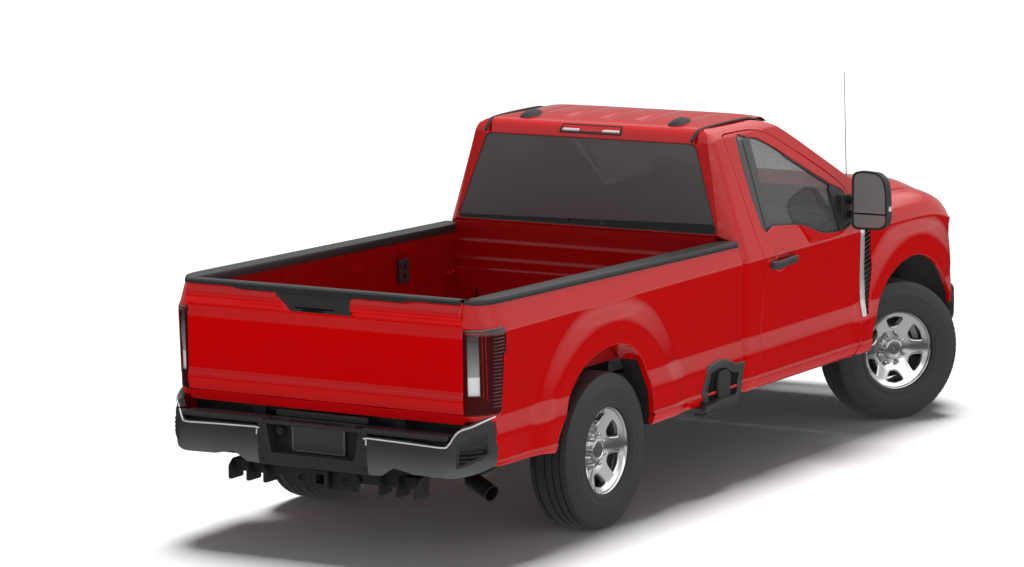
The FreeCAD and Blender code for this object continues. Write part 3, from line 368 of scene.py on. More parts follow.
def smooth_line(points: Sequence[Sequence[float]], steps: int = 6,
                closed: bool = False) -> list[tuple[float, ...]]:
    """Return points along a smooth curve through the given ones.

    Args:
        points: the points that the curve passes.
        steps: the points made for each span.
        closed: whether the last span returns to the first point.

    Returns:
        The curve's points.
    """
    line = [np.array(point, float) for point in points]
    count = len(line)
    spans = count if closed else count - 1
    made = []
    for i in range(spans):
        if closed:
            a, b, c, d = (line[(i + k) % count] for k in (-1, 0, 1, 2))
        else:
            b, c = line[i], line[i + 1]
            a = line[i - 1] if i else 2 * b - c
            d = line[i + 2] if i + 2 < count else 2 * c - b
        for k in range(steps):
            t = k / steps
            made.append(0.5 * (2 * b + (c - a) * t + (2 * a - 5 * b + 4 * c - d) * t * t
                               + (3 * b - a - 3 * c + d) * t ** 3))
    if not closed:
        made.append(line[-1])
    return [tuple(float(part) for part in point) for point in made]


def bent(before: np.ndarray, here: np.ndarray, after: np.ndarray, radius: float,
         steps: int) -> list[np.ndarray]:
    """Return the points that round the corner between its two neighbours."""
    back, ahead = before - here, after - here
    start = here + back / np.linalg.norm(back) * min(radius, np.linalg.norm(back) * 0.49)
    end = here + ahead / np.linalg.norm(ahead) * min(radius, np.linalg.norm(ahead) * 0.49)
    return [(1 - t) ** 2 * start + 2 * t * (1 - t) * here + t * t * end
            for t in (k / steps for k in range(steps + 1))]


def eased(points: Sequence[Sequence[float]], radius: float, steps: int = 4) -> list[tuple]:
    """Return an open path with its inner corners rounded.

    Args:
        points: the path's corners, in two or three coordinates.
        radius: how far from a corner its rounding starts.
        steps: the points made for each corner.

    Returns:
        The eased path.
    """
    line = [np.array(point, float) for point in points]
    made = [line[0]]
    for before, here, after in zip(line, line[1:], line[2:]):
        made += bent(before, here, after, radius, steps)
    made.append(line[-1])
    return [tuple(float(part) for part in point) for point in made]


def table(points: Sequence[Sequence[float]]) -> np.ndarray:
    """Return a smooth table through rows that start with their place, for reading by place."""
    return np.array(smooth_line(points, 8))


def looked_up(rows: Sequence[Sequence[float]], place: float, column: int = 1) -> float:
    """Return a table's value at a place."""
    known = np.asarray(rows)
    return float(np.interp(place, known[:, 0], known[:, column]))


def upright(x: float) -> Place:
    """Return the placing of an outline (y, z) on a plane across the truck."""
    return lambda y, z: (x, y, z)


def rectangle(low: Pair, high: Pair) -> list[Pair]:
    """Return the outline of a rectangle between two corners."""
    return [low, (high[0], low[1]), high, (low[0], high[1])]


def rounded(points: Sequence[Pair], radius: float, steps: int = 5) -> list[Pair]:
    """Return a closed outline with every corner rounded.

    Args:
        points: the corners.
        radius: how far from a corner its rounding starts.
        steps: the points made for each corner.

    Returns:
        The rounded outline.
    """
    made = []
    count = len(points)
    for i in range(count):
        before, here, after = (np.array(points[(i + k) % count], float) for k in (-1, 0, 1))
        made += bent(before, here, after, radius, steps)
    return [tuple(point) for point in made]


def turns(count: int) -> np.ndarray:
    """Return angles evenly round a circle."""
    return np.linspace(0, 2 * math.pi, count, endpoint=False)


def scaled_about(outline: Sequence[Pair], middle: Pair, across: float, up: float) -> list[Pair]:
    """Return an outline scaled about a point."""
    return [(middle[0] + (a - middle[0]) * across, middle[1] + (b - middle[1]) * up)
            for a, b in outline]


def spaced(loop: Sequence[Pair], step: float, counter_clockwise: bool) -> list[Pair]:
    """Return a closed outline with its long runs divided, in one turning sense."""
    points = [np.array(point, float) for point in loop]
    area = sum(a[0] * b[1] - b[0] * a[1] for a, b in zip(points, points[1:] + points[:1]))
    if (area > 0) != counter_clockwise:
        points.reverse()
    made = []
    for a, b in zip(points, points[1:] + points[:1]):
        length = float(np.linalg.norm(b - a))
        if length < 1e-6:
            continue
        parts = max(1, math.ceil(length / step))
        made += [tuple(a + (b - a) * k / parts) for k in range(parts)]
    return made


def within(points: np.ndarray, loops: Sequence[Sequence[Pair]]) -> np.ndarray:
    """Return which points lie inside the first outline and outside the others, its holes."""
    kept = np.ones(len(points), bool)
    for index, loop in enumerate(loops):
        inside = np.zeros(len(points), bool)
        corners = np.array(loop)
        for a, b in zip(corners, np.roll(corners, -1, axis=0)):
            crosses = (a[1] > points[:, 1]) != (b[1] > points[:, 1])
            slope = (b[0] - a[0]) / (b[1] - a[1] if b[1] != a[1] else 1e-12)
            inside ^= crosses & (points[:, 0] < slope * (points[:, 1] - a[1]) + a[0])
        kept &= inside if index == 0 else ~inside
    return kept


def _lattice(loops: Sequence[Sequence[Pair]], columns: float, rows: Sequence[float] | float,
             clearance: float) -> np.ndarray:
    """Return a sheet's inner mesh points, inside its loops and clear of their points."""
    edge = np.array([point for loop in loops for point in loop])
    low, high = edge.min(0), edge.max(0)
    if isinstance(rows, float):
        rows = list(np.arange(low[1] + rows / 2, high[1], rows))
    across = np.arange(low[0] + columns / 2, high[0], columns)
    lattice = np.array([(u, v) for v in rows for u in across]).reshape(-1, 2)
    lattice = lattice[within(lattice, loops)]
    batch = 400
    for start in range(0, len(edge), batch):
        part = edge[start:start + batch]
        near = ((lattice[:, None, :] - part[None]) ** 2).sum(2).min(1)
        lattice = lattice[near > clearance * clearance]
    return lattice


def _flat_sheet(loops: Sequence[Sequence[Pair]], lattice: np.ndarray
                ) -> tuple[list[Vector], list[tuple[int, ...]], dict[int, int]]:
    """Return a sheet's flat points, its faces, and where each loop point is among them."""
    chains, begin = [], 0
    for loop in loops:
        count = len(loop)
        chains += [(begin + i, begin + (i + 1) % count) for i in range(count)]
        begin += count
    flat = [Vector(point) for point in np.vstack([*loops, lattice])]
    flat, _, triangles, origin, _, _ = delaunay_2d_cdt(flat, chains, [], 0, 1e-7)
    where = {old: new for new, olds in enumerate(origin) for old in olds}
    middles = np.array([(flat[a] + flat[b] + flat[c]) / 3 for a, b, c in triangles])
    faces = [tuple(face) for face, kept in zip(triangles, within(middles, loops)) if kept]
    a, b, c = (flat[corner] for corner in faces[0])
    if (b - a).cross(c - a) < 0:
        faces = [face[::-1] for face in faces]
    return flat, faces, where


def skin(outline: Sequence[Pair], place: Place, outward: Triple,
         holes: Iterable[Sequence[Pair]] = (), columns: float = 0.03,
         rows: Sequence[float] | float = 0.02, roll: float = 0.004, depth: float = 0.018,
         hole_roll: float | None = None, hole_depth: float | None = None,
         edge_step: float = 0.012) -> Shell:
    """Make a pressed panel: a curved sheet with openings and rolled edges.

    Args:
        outline: the panel's outline on its own two coordinates.
        place: gives the point in space for the two coordinates.
        outward: roughly the way the sheet faces.
        holes: the outlines of its openings.
        columns: spacing of mesh lines along the first coordinate.
        rows: places of mesh lines along the second coordinate, or their spacing.
        roll: radius of the rolled edge; zero leaves the sheet's edge bare.
        depth: how far the edge returns behind the sheet.
        hole_roll: the same radius round the openings, if it differs.
        hole_depth: the same return round the openings, if it differs.
        edge_step: spacing of points along the edges.

    Returns:
        The panel's shell.
    """
    loops = [spaced(outline, edge_step, True)]
    loops += [spaced(hole, edge_step, False) for hole in holes]
    flat, faces, where = _flat_sheet(loops, _lattice(loops, columns, rows, edge_step * 0.45))
    points = [Vector(place(*point)) for point in flat]

    def facing(u: float, v: float) -> Vector:
        """Return the sheet's normal at a place."""
        here = Vector(place(u, v))
        normal = (Vector(place(u + TINY, v)) - here).cross(Vector(place(u, v + TINY)) - here)
        return normal.normalized()

    votes = sum(1 if facing(*flat[face[0]]).dot(Vector(outward)) > 0 else -1
                for face in faces[:: max(1, len(faces) // 40)])
    sign = 1.0 if votes >= 0 else -1.0
    begin = 0
    for index, loop in enumerate(loops):
        radius = roll if index == 0 or hole_roll is None else hole_roll
        back = depth if index == 0 or hole_depth is None else hole_depth
        count = len(loop)
        if radius > 0:
            base = [where[begin + i] for i in range(count)]
            for ring in _rolled_edge(loop, place, facing, sign, radius, back):
                fresh = list(range(len(points), len(points) + count))
                points += ring
                for i in range(count):
                    k = (i + 1) % count
                    faces.append((base[i], fresh[i], fresh[k], base[k]))
                base = fresh
        begin += count
    if sign < 0:
        faces = [face[::-1] for face in faces]
    return Shell([tuple(point) for point in points], faces)


def _rolled_edge(loop: Sequence[Pair], place: Place, facing: Callable[[float, float], Vector],
                 sign: float, radius: float, depth: float) -> list[list[Vector]]:
    """Return the rings of points that roll a panel's edge over and back."""
    rings: list[list[Vector]] = [[] for _ in range(5)]
    count = len(loop)
    for i in range(count):
        before, here, after = (np.array(loop[(i + k) % count]) for k in (-1, 0, 1))
        run = after - before
        away = np.array((run[1], -run[0])) / max(1e-9, float(np.linalg.norm(run)))
        point = Vector(place(*here))
        normal = facing(*here) * sign
        out = Vector(place(*(here + away * TINY))) - point
        out -= normal * out.dot(normal)
        out.normalize()
        for k in range(4):
            angle = (k + 1) * math.pi / 8
            rings[k].append(point + out * radius * math.sin(angle)
                            - normal * radius * (1 - math.cos(angle)))
        rings[4].append(rings[3][-1] - normal * depth)
    return rings


def lathe(profile: Sequence[Pair], segments: int = 96) -> Shell:
    """Return a shape turned about the Y axis.

    Args:
        profile: (radius, place along Y) from one end to the other.
        segments: the number of steps round the axis.

    Returns:
        The turned shell.
    """
    points = []
    for k in range(segments):
        angle = 2 * math.pi * k / segments
        points += [(r * math.cos(angle), y, r * math.sin(angle)) for r, y in profile]
    count = len(profile)
    faces = []
    for k in range(segments):
        n = (k + 1) % segments
        for i in range(count - 1):
            faces.append((k * count + i, k * count + i + 1, n * count + i + 1, n * count + i))
    return Shell(points, faces)


def upended(profile: Sequence[Pair], segments: int) -> Shell:
    """Return a shape turned about the Z axis from (radius, height)."""
    turned = lathe(profile, segments)
    return Shell([(x, z, y) for x, y, z in turned.points], turned.faces)


def tube(path: Sequence[Triple], radius: float | Sequence[float], sides: int = 16,
         capped: bool = True) -> Shell:
    """Return a round tube along a path.

    Args:
        path: the points of its middle line.
        radius: its radius, or one for each point.
        sides: the number of sides.
        capped: whether its ends are closed.

    Returns:
        The tube's shell.
    """
    line = [Vector(point) for point in path]
    radii = [radius] * len(line) if isinstance(radius, (int, float)) else list(radius)
    tangent = (line[1] - line[0]).normalized()
    across = tangent.orthogonal().normalized()
    points, faces = [], []
    for i, here in enumerate(line):
        ahead = line[min(i + 1, len(line) - 1)] - line[max(i - 1, 0)]
        ahead.normalize()
        across = (across - ahead * across.dot(ahead)).normalized()
        other = ahead.cross(across)
        for k in range(sides):
            angle = 2 * math.pi * k / sides
            points.append(tuple(here + (across * math.cos(angle) + other * math.sin(angle))
                                * radii[i]))
    for i in range(len(line) - 1):
        for k in range(sides):
            n = (k + 1) % sides
            faces.append((i * sides + k, i * sides + n, (i + 1) * sides + n,
                          (i + 1) * sides + k))
    if capped:
        faces.append(tuple(reversed(range(sides))))
        faces.append(tuple(range((len(line) - 1) * sides, len(line) * sides)))
    return Shell(points, faces)


def slab(outline: Sequence[Pair], plane: str, low: float, high: float, bevel: float = 0.0,
         segments: int = 2) -> Shell:
    """Return an outline given thickness, with its edges rounded.

    Args:
        outline: the closed outline on the plane's two axes.
        plane: "xy", "xz" or "yz".
        low: where it starts along the third axis.
        high: where it ends.
        bevel: radius of the rounded edges.
        segments: steps across a rounded edge.

    Returns:
        The slab's shell.
    """
    order = {"xy": (0, 1, 2), "xz": (0, 2, 1), "yz": (1, 2, 0)}[plane]
    work = bmesh.new()
    rings = []
    for level in (low, high):
        ring = []
        for a, b in outline:
            place = [0.0, 0.0, 0.0]
            place[order[0]], place[order[1]], place[order[2]] = a, b, level
            ring.append(work.verts.new(place))
        rings.append(ring)
    count = len(outline)
    for i in range(count):
        k = (i + 1) % count
        work.faces.new((rings[0][i], rings[0][k], rings[1][k], rings[1][i]))
    work.faces.new(rings[0])
    work.faces.new(list(reversed(rings[1])))
    bmesh.ops.recalc_face_normals(work, faces=work.faces)
    if bevel > 0:
        sharp = [edge for edge in work.edges if edge.calc_face_angle(0.0) > 0.5]
        bmesh.ops.bevel(work, geom=sharp, offset=bevel, segments=segments, profile=0.5,
                        affect="EDGES", clamp_overlap=True)
    work.verts.index_update()
    made = Shell([tuple(vert.co) for vert in work.verts],
                 [tuple(vert.index for vert in face.verts) for face in work.faces])
    work.free()
    return made


def brick(low: Triple, high: Triple, bevel: float = 0.004, segments: int = 2) -> Shell:
    """Return a box between two corners with rounded edges."""
    return slab(rectangle(low[:2], high[:2]), "xy", low[2], high[2], bevel, segments)


def grid(rows: Sequence[Sequence[Triple]], closed: bool = False) -> Shell:
    """Return a sheet through rows of points, each row closed on itself if asked."""
    count = len(rows[0])
    faces = []
    for i in range(len(rows) - 1):
        for k in range(count if closed else count - 1):
            n = (k + 1) % count
            faces.append((i * count + k, i * count + n, (i + 1) * count + n,
                          (i + 1) * count + k))
    return Shell([tuple(point) for row in rows for point in row], faces)


def fan(row: Sequence[Triple], swing: int = 1) -> Shell:
    """Return one face through a row of points, turned over by a swing of -1."""
    return Shell([tuple(point) for point in row], [tuple(range(len(row)))[::swing]])


def posed(point: Triple, degrees: float, axis: str) -> Matrix:
    """Return the matrix that turns a shell about its own axis and moves it to a point."""
    return Matrix.Translation(point) @ Matrix.Rotation(math.radians(degrees), 4, axis)


def mesh_of(name: str, shell: Shell) -> bpy.types.Mesh:
    """Return a shell's mesh."""
    mesh = bpy.data.meshes.new(name)
    mesh.from_pydata(shell.points, [], shell.faces)
    return mesh


def put_in_scene(name: str, data: bpy.types.ID) -> bpy.types.Object:
    """Return a new object with the given mesh, lamp or camera, linked to the scene."""
    item = bpy.data.objects.new(name, data)
    bpy.context.scene.collection.objects.link(item)
    return item


@dataclass
class Workshop:
    """Turns shells into pieces that ride on the truck's bodies."""

    triangles: int = 0

    def make(self, name: str, shell: Shell, finish: Surface, body: str = "root",
             replaced: Sequence[str] = (), sharp: float = 35.0, weld: float = 0.0,
             fix_normals: bool = False) -> bpy.types.Object:
        """Make one piece.

        Args:
            name: the piece's name.
            shell: its points and faces.
            finish: its finish.
            body: the body that it rides on.
            replaced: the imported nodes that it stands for.
            sharp: edges that turn by more degrees than this stay sharp.
            weld: points closer than this are joined.
            fix_normals: whether faces are first made to face outward.

        Returns:
            The piece.
        """
        mesh = mesh_of(name, shell)
        if weld > 0 or fix_normals:
            work = bmesh.new()
            work.from_mesh(mesh)
            if weld > 0:
                bmesh.ops.remove_doubles(work, verts=work.verts, dist=weld)
            if fix_normals:
                bmesh.ops.recalc_face_normals(work, faces=work.faces)
            work.to_mesh(mesh)
            work.free()
        mesh.validate()
        mesh.shade_smooth()
        mesh.set_sharp_from_angle(angle=math.radians(sharp))
        piece = put_in_scene(name, mesh)
        piece.data.materials.append(finish.material())
        weigh = piece.modifiers.new("face_weight", "WEIGHTED_NORMAL")
        weigh.keep_sharp = True
        self.triangles += sum(len(face.vertices) - 2 for face in mesh.polygons)
        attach(piece, body)
        if replaced:
            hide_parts(*replaced)
        LOG.info("%s: %d points", name, len(mesh.vertices))
        return piece

    def sided(self, side: Side, name: str, shell: Shell, finish: Surface, body: str = "",
              node: str = "", fix_normals: bool = False) -> None:
        """Make one side's piece from a shell drawn for the left.

        Args:
            side: the side, whose word ends the piece's, the body's and the node's name.
            name: the piece's name.
            shell: its points and faces on the left.
            finish: its finish.
            body: the body that it rides on, the root by default.
            node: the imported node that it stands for.
            fix_normals: whether faces are first made to face outward.
        """
        self.make(f"{name}_{side.word}", shell.on(side), finish,
                  f"{body}_{side.word}" if body else "root",
                  (f"{node}_{side.word}",) if node else (), fix_normals=fix_normals)

    @staticmethod
    def dress(finish: Surface, *nodes: str) -> None:
        """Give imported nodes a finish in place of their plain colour."""
        for node in nodes:
            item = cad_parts[node]
            item.data.materials.clear()
            item.data.materials.append(finish.material())
            LOG.info("%s: dressed in %s", node, finish.name)


SHOP = Workshop()


@dataclass(frozen=True)
class Studio:
    """The camera, lights and floor."""

    eye: Triple = (-20.643, -12.234, 4.79)
    azimuth: float = -58.436
    elevation: float = 9.01
    roll: float = -0.813
    focal: float = 149.2
    sensor: float = 36.0
    shift: Pair = (-0.0207, 0.0085)
    sky_strength: float = 0.10
    dome_radius: float = 90.0
    floor_radius: float = 110.0
    floor_sweep: float = 8.0

    def build(self) -> None:
        """Build the whole studio."""
        self.camera()
        self.sky()
        self.dome()
        self.lamps()
        self.floor()
        bpy.context.scene.view_settings.view_transform = "Standard"
        bpy.context.scene.view_settings.look = "None"

    def camera(self) -> None:
        """Add the camera at the picture's viewing angle."""
        turn, rise, tilt = (math.radians(angle)
                            for angle in (self.azimuth, self.elevation, self.roll))
        back = Vector((math.sin(turn) * math.cos(rise), -math.cos(turn) * math.cos(rise),
                       math.sin(rise)))
        right = Vector((math.cos(turn), math.sin(turn), 0.0))
        up = back.cross(right)
        tilted_right = right * math.cos(tilt) + up * math.sin(tilt)
        tilted_up = up * math.cos(tilt) - right * math.sin(tilt)
        data = bpy.data.cameras.new("studio_camera")
        data.lens = self.focal
        data.sensor_width = self.sensor
        data.shift_x, data.shift_y = self.shift
        data.clip_end = 500.0
        camera = put_in_scene("studio_camera", data)
        axes = Matrix((tilted_right, tilted_up, back)).transposed().to_4x4()
        camera.matrix_world = Matrix.Translation(self.eye) @ axes
        bpy.context.scene.camera = camera

    @staticmethod
    def _graded(tree: bpy.types.NodeTree, output: str, stops: Sequence[Pair],
                shader: bpy.types.Node) -> None:
        """Feed a shader's colour with a grey that changes with height in the sky.

        Args:
            tree: the node tree of the world or material.
            output: the texture coordinate that gives the direction.
            stops: (height as a share of the radius, grey level), rising.
            shader: the background or emission node.
        """
        nodes, links = tree.nodes, tree.links
        ray = nodes.new("ShaderNodeTexCoord")
        split = nodes.new("ShaderNodeSeparateXYZ")
        shift = nodes.new("ShaderNodeMath")
        shift.operation = "MULTIPLY_ADD"
        shift.inputs[1].default_value = shift.inputs[2].default_value = 0.5
        tone = nodes.new("ShaderNodeValToRGB")
        elements = tone.color_ramp.elements
        while len(elements) < len(stops):
            elements.new(0.5)
        for element, (place, level) in zip(elements, stops):
            element.position = 0.5 + place / 2
            element.color = (level, level, level, 1.0)
        links.new(ray.outputs[output], split.inputs["Vector"])
        links.new(split.outputs["Z"], shift.inputs[0])
        links.new(shift.outputs["Value"], tone.inputs["Fac"])
        links.new(tone.outputs["Color"], shader.inputs["Color"])

    @staticmethod
    def _brighter_right(tree: bpy.types.NodeTree, glow: bpy.types.Node) -> None:
        """Make the dome stronger on the truck's right than on its left."""
        ray = tree.nodes.new("ShaderNodeTexCoord").outputs["Object"]
        level = level_along(tree.nodes, tree.links, ray, "Y", (-0.6, 0.6, 2.1, 0.75))
        tree.links.new(level, glow.inputs["Strength"])

    def sky(self) -> None:
        """Make the surroundings: an even light from above, nearly none from the horizon."""
        world = bpy.data.worlds.new("studio_sky")
        world.use_nodes = True
        back = world.node_tree.nodes["Background"]
        self._graded(world.node_tree, "Generated", ((0.0, 0.0), (0.10, 0.03), (0.35, 1.0)), back)
        back.inputs["Strength"].default_value = self.sky_strength
        bpy.context.scene.world = world

    def dome(self) -> None:
        """Add the bright dome that only shiny surfaces see."""
        rings = [math.radians(angle) for angle in (-89, -60, -40, -25, -15, -8, 0, 5, 10, 16, 24,
                                                   36, 50, 66, 80, 89)]
        mesh = mesh_of("studio_dome", upended([(math.cos(a), math.sin(a)) for a in rings], 64))
        dome = put_in_scene("studio_dome", mesh)
        dome.scale = (self.dome_radius,) * 3
        made = bpy.data.materials.new("studio_dome_light")
        made.use_nodes = True
        nodes, links = made.node_tree.nodes, made.node_tree.links
        nodes.remove(nodes["Principled BSDF"])
        glow = nodes.new("ShaderNodeEmission")
        self._graded(made.node_tree, "Object", (
            (-0.50, 0.28), (-0.24, 0.04), (-0.12, 0.02), (0.0, 0.45), (0.12, 0.35), (0.30, 0.35),
            (0.42, 1.0), (1.0, 0.75)), glow)
        self._brighter_right(made.node_tree, glow)
        links.new(glow.outputs["Emission"], nodes["Material Output"].inputs["Surface"])
        made.cycles.emission_sampling = "NONE"
        mesh.materials.append(made)
        dome.visible_camera = dome.visible_diffuse = dome.visible_shadow = False
        dome.visible_transmission = dome.visible_volume_scatter = False

    def lamps(self) -> None:
        """Add the soft lamps: one high, one from behind and one along the right side."""
        for name, toward, strength, angle in (("high_sun", (0.27, 0.15, 0.95), 3.9, 24.0),
                                              ("tail_sun", (-0.80, -0.38, 0.46), 0.16, 50.0),
                                              ("side_sun", (-0.10, -0.90, 0.43), 0.07, 50.0)):
            data = bpy.data.lights.new(name, "SUN")
            data.energy = strength
            data.angle = math.radians(angle)
            data.specular_factor = 0.0
            lamp = put_in_scene(name, data)
            lamp.matrix_world = Vector(toward).to_track_quat("Z", "Y").to_matrix().to_4x4()
            lamp.visible_glossy = False

    def floor(self) -> None:
        """Add the pale floor, a wide disc that curves up far off."""
        sweep, wall = self.floor_sweep, 30.0
        bend = [(self.floor_radius + sweep * math.sin(k * math.pi / 16),
                 sweep * (1 - math.cos(k * math.pi / 16))) for k in range(9)]
        profile = [(0.01, 0.0), (6.0, 0.0), (20.0, 0.0), *bend, (self.floor_radius + sweep, wall)]
        mesh = mesh_of("studio_floor", upended(profile, 128))
        mesh.shade_smooth()
        floor = put_in_scene("studio_floor", mesh)
        finish = Finish("studio_white", "", (0.90, 0.90, 0.90), 0.9, tone_spread=0.01,
                        tone_size=6.0, specular=0.0)
        mesh.materials.append(finish.material())
        floor.visible_glossy = False


LOWER_SECTION = ((0.440, 0.905, 0.0), (0.500, 0.985, 0.012), (0.553, 1.001, 0.004),
                 (0.567, 0.994, 0.004), (0.695, 1.002, 0.022), (0.800, 0.989, 0.008))


@dataclass(frozen=True)
class BodySide:
    """The outer surface of the truck's side, shared by wings, doors, cab and bed."""

    section: CreasedLine = CreasedLine((
        *LOWER_SECTION, (1.228, 1.000, 0.010), (1.375, 0.951, 0.050), (1.900, 0.780, 0.012),
        (1.934, 0.756, 0.012), (1.957, 0.700, 0.004), (1.970, 0.660, 0.0)))
    flare: float = 0.022
    flare_inner: float = 0.690
    flare_outer: float = 0.835
    flare_soft: float = 0.1
    flare_top: float = 1.26
    flare_fade: float = 0.12
    arch_centres: tuple[Pair, ...] = ((2.014, 0.430), (-1.590, 0.430))

    def width(self, x: float, z: float) -> float:
        """Return the half width of the side at a length and height."""
        value = self.section.at(z)
        for centre_x, centre_z in self.arch_centres:
            reach = math.hypot(x - centre_x, z - centre_z)
            rise = (self.flare_outer - reach) / (self.flare_outer - self.flare_inner)
            blend = clamp(ramp(rise, self.flare_soft) - ramp(rise - 1.0, self.flare_soft))
            value += self.flare * blend * clamp((self.flare_top - z) / self.flare_fade)
        return value

    def rows(self, low: float, high: float, step: float = 0.022) -> list[float]:
        """Return mesh rows between two heights, close at the creases."""
        return self.section.rows(low, high, step)

    def proud(self, amount: float, low: float = -1.0) -> Place:
        """Return the side's surface moved outward, upright below a height."""
        return lambda x, z: (x, self.width(x, max(z, low)) + amount, z)


SIDE = BodySide()


@dataclass(frozen=True)
class LoadBed:
    """The load bed's outer sides, rail caps and pressed inner walls."""

    front: float = -0.124
    turn_start: float = -2.60
    gate_edge: float = 0.857
    cap_front_z: float = 1.352
    cap_rear_z: float = 1.401
    cap_thickness: float = 0.024
    bottom_front: float = 0.500
    bottom_rear: float = 0.536
    wall_y: float = 0.8485
    wall_low: float = 0.862
    wall_ends: Pair = (-0.152, -2.748)
    bays: tuple[Pair, ...] = ((-0.36, -0.86), (-1.02, -1.30), (-1.86, -2.16), (-2.30, -2.62))
    bay_heights: Pair = (0.93, 1.235)
    bay_depth: float = 0.022
    corner: tuple[Pair, ...] = ((-2.60, 0.0), (-2.690, -0.011), (-2.751, -0.043),
                                (-2.792, -0.088), (-2.808, -0.130), (-2.809, -0.175))
    arch: tuple[Pair, ...] = ((-2.178, 0.520), (-2.150, 0.594), (-2.086, 0.691), (-2.026, 0.795),
                              (-1.914, 0.904), (-1.775, 0.968), (-1.636, 0.993),
                              (-1.496, 0.991), (-1.369, 0.952), (-1.256, 0.858),
                              (-1.187, 0.723), (-1.153, 0.600), (-1.147, 0.490))

    def cap_z(self, x: float) -> float:
        """Return the height of the rail cap's top at a length."""
        share = (self.front - x) / (self.front + 2.80)
        return self.cap_front_z + (self.cap_rear_z - self.cap_front_z) * share

    def place(self, u: float, z: float) -> Triple:
        """Return the outer surface's point; past the corner u runs round to the tail."""
        if u >= self.turn_start:
            return (u, SIDE.width(u, z), z)
        left = self.turn_start - u
        line = BED_CORNER
        for (ax, ay), (bx, by) in zip(line, line[1:]):
            length = math.hypot(bx - ax, by - ay)
            if left <= length:
                share = left / length
                x, dy = ax + (bx - ax) * share, ay + (by - ay) * share
                return (x, SIDE.width(self.turn_start, z) + dy, z)
            left -= length
        return (line[-1][0], SIDE.width(self.turn_start, z) + line[-1][1] - left, z)

    def tail_u(self, z: float, edge: float | None = None) -> float:
        """Return where the surface meets a half width, the tailgate's edge by default."""
        edge = self.gate_edge if edge is None else edge
        low, high = -3.0, self.turn_start
        for _ in range(30):
            middle = (low + high) / 2
            if self.place(middle, z)[1] > edge:
                high = middle
            else:
                low = middle
        return (low + high) / 2

    def build(self) -> None:
        """Build every piece of the bed."""
        top = [(u, self.cap_z(u) - self.cap_thickness)
               for u in np.linspace(self.front, -2.74, 60)]
        tail = [(self.tail_u(z), z) for z in np.linspace(1.372, 1.256, 8)]
        under = [(self.tail_u(z), z) for z in (0.800, 0.780)]
        lamp_path = [(self.tail_u(1.252), 1.252), (-2.70, 1.252), (-2.640, 1.260),
                     (-2.618, 1.228), (-2.618, 1.122), (-2.638, 1.102), (-2.638, 1.050),
                     (-2.652, 0.815), (-2.672, 0.800)]
        base = [(-2.70, 0.772), (-2.70, 0.700), (-2.72, 0.620), (-2.715, 0.540),
                (-2.30, self.bottom_rear)]
        arch = smooth_line(self.arch, 5)
        low = [(-1.147, 0.492), (-1.05, 0.497), (-0.62, self.bottom_front),
               (self.front, self.bottom_front)]
        outline = [*top, *tail, *lamp_path, *under, *base, *arch, *low]
        shell = skin(outline, self.place, LEFTWARD, columns=0.028,
                     rows=SIDE.rows(0.48, 1.40), depth=0.03)
        SHOP.make("bed_side_skins", shell.both(), PAINT, "root",
                  ("bed_side_left", "bed_side_right"))
        self.caps()
        self.liners()
        self.walls()
        self.fittings()

    def wall(self, x: float, z: float) -> Triple:
        """Return the inner wall's point, its bays pressed outward with sloping edges."""
        push, (low, high) = 0.0, self.bay_heights
        for start, end in self.bays:
            along = min(start - x, x - end) / 0.05
            up = min(z - low, high - z + 0.5 * abs(x - (start + end) / 2)) / 0.04
            push = max(push, min(clamp(along), clamp(up)))
        return (x, self.wall_y + self.bay_depth * push * push * (3 - 2 * push), z)

    @staticmethod
    def headboard(y: float, z: float) -> Triple:
        """Return the headboard's point, with its two beads and the swell below them."""
        beads = sum(math.exp(-((z - middle) / 0.012) ** 2) for middle in (1.255, 1.150))
        return (-0.1955 - 0.012 * beads - 0.006 * (1 if 0.93 < z < 1.10 else 0), y, z)

    def walls(self) -> None:
        """Build the pressed inner walls, their ends and the headboard's face."""
        front, rear = self.wall_ends
        top = [(x, self.cap_z(x) - 0.050) for x in np.linspace(front, rear, 40)]
        wall = skin([*top, (rear, self.wall_low), (front, self.wall_low)], self.wall, RIGHTWARD,
                    columns=0.025, rows=0.02, roll=0.0)
        end = grid([[(rear, self.wall_y, z), (rear, 0.872, z)] for z in (0.84, 1.1, 1.30, 1.350)])
        start = grid([[(self.front + 0.001, self.wall_y, z), (self.front + 0.001, 0.970, z)]
                      for z in (0.53, 0.9, 1.28)])
        SHOP.make("bed_inner_walls", wall.both(), SHADED_BED_PAINT)
        SHOP.make("bed_side_ends", end.add(start).both(), SHADED_BED_PAINT)
        board = skin([(0.846, 0.866), (0.846, 1.318), (-0.846, 1.318), (-0.846, 0.866)],
                     self.headboard, REARWARD, columns=0.08, rows=0.006, roll=0.0)
        SHOP.make("headboard_pressing", board, SHADED_BED_PAINT, sharp=60)

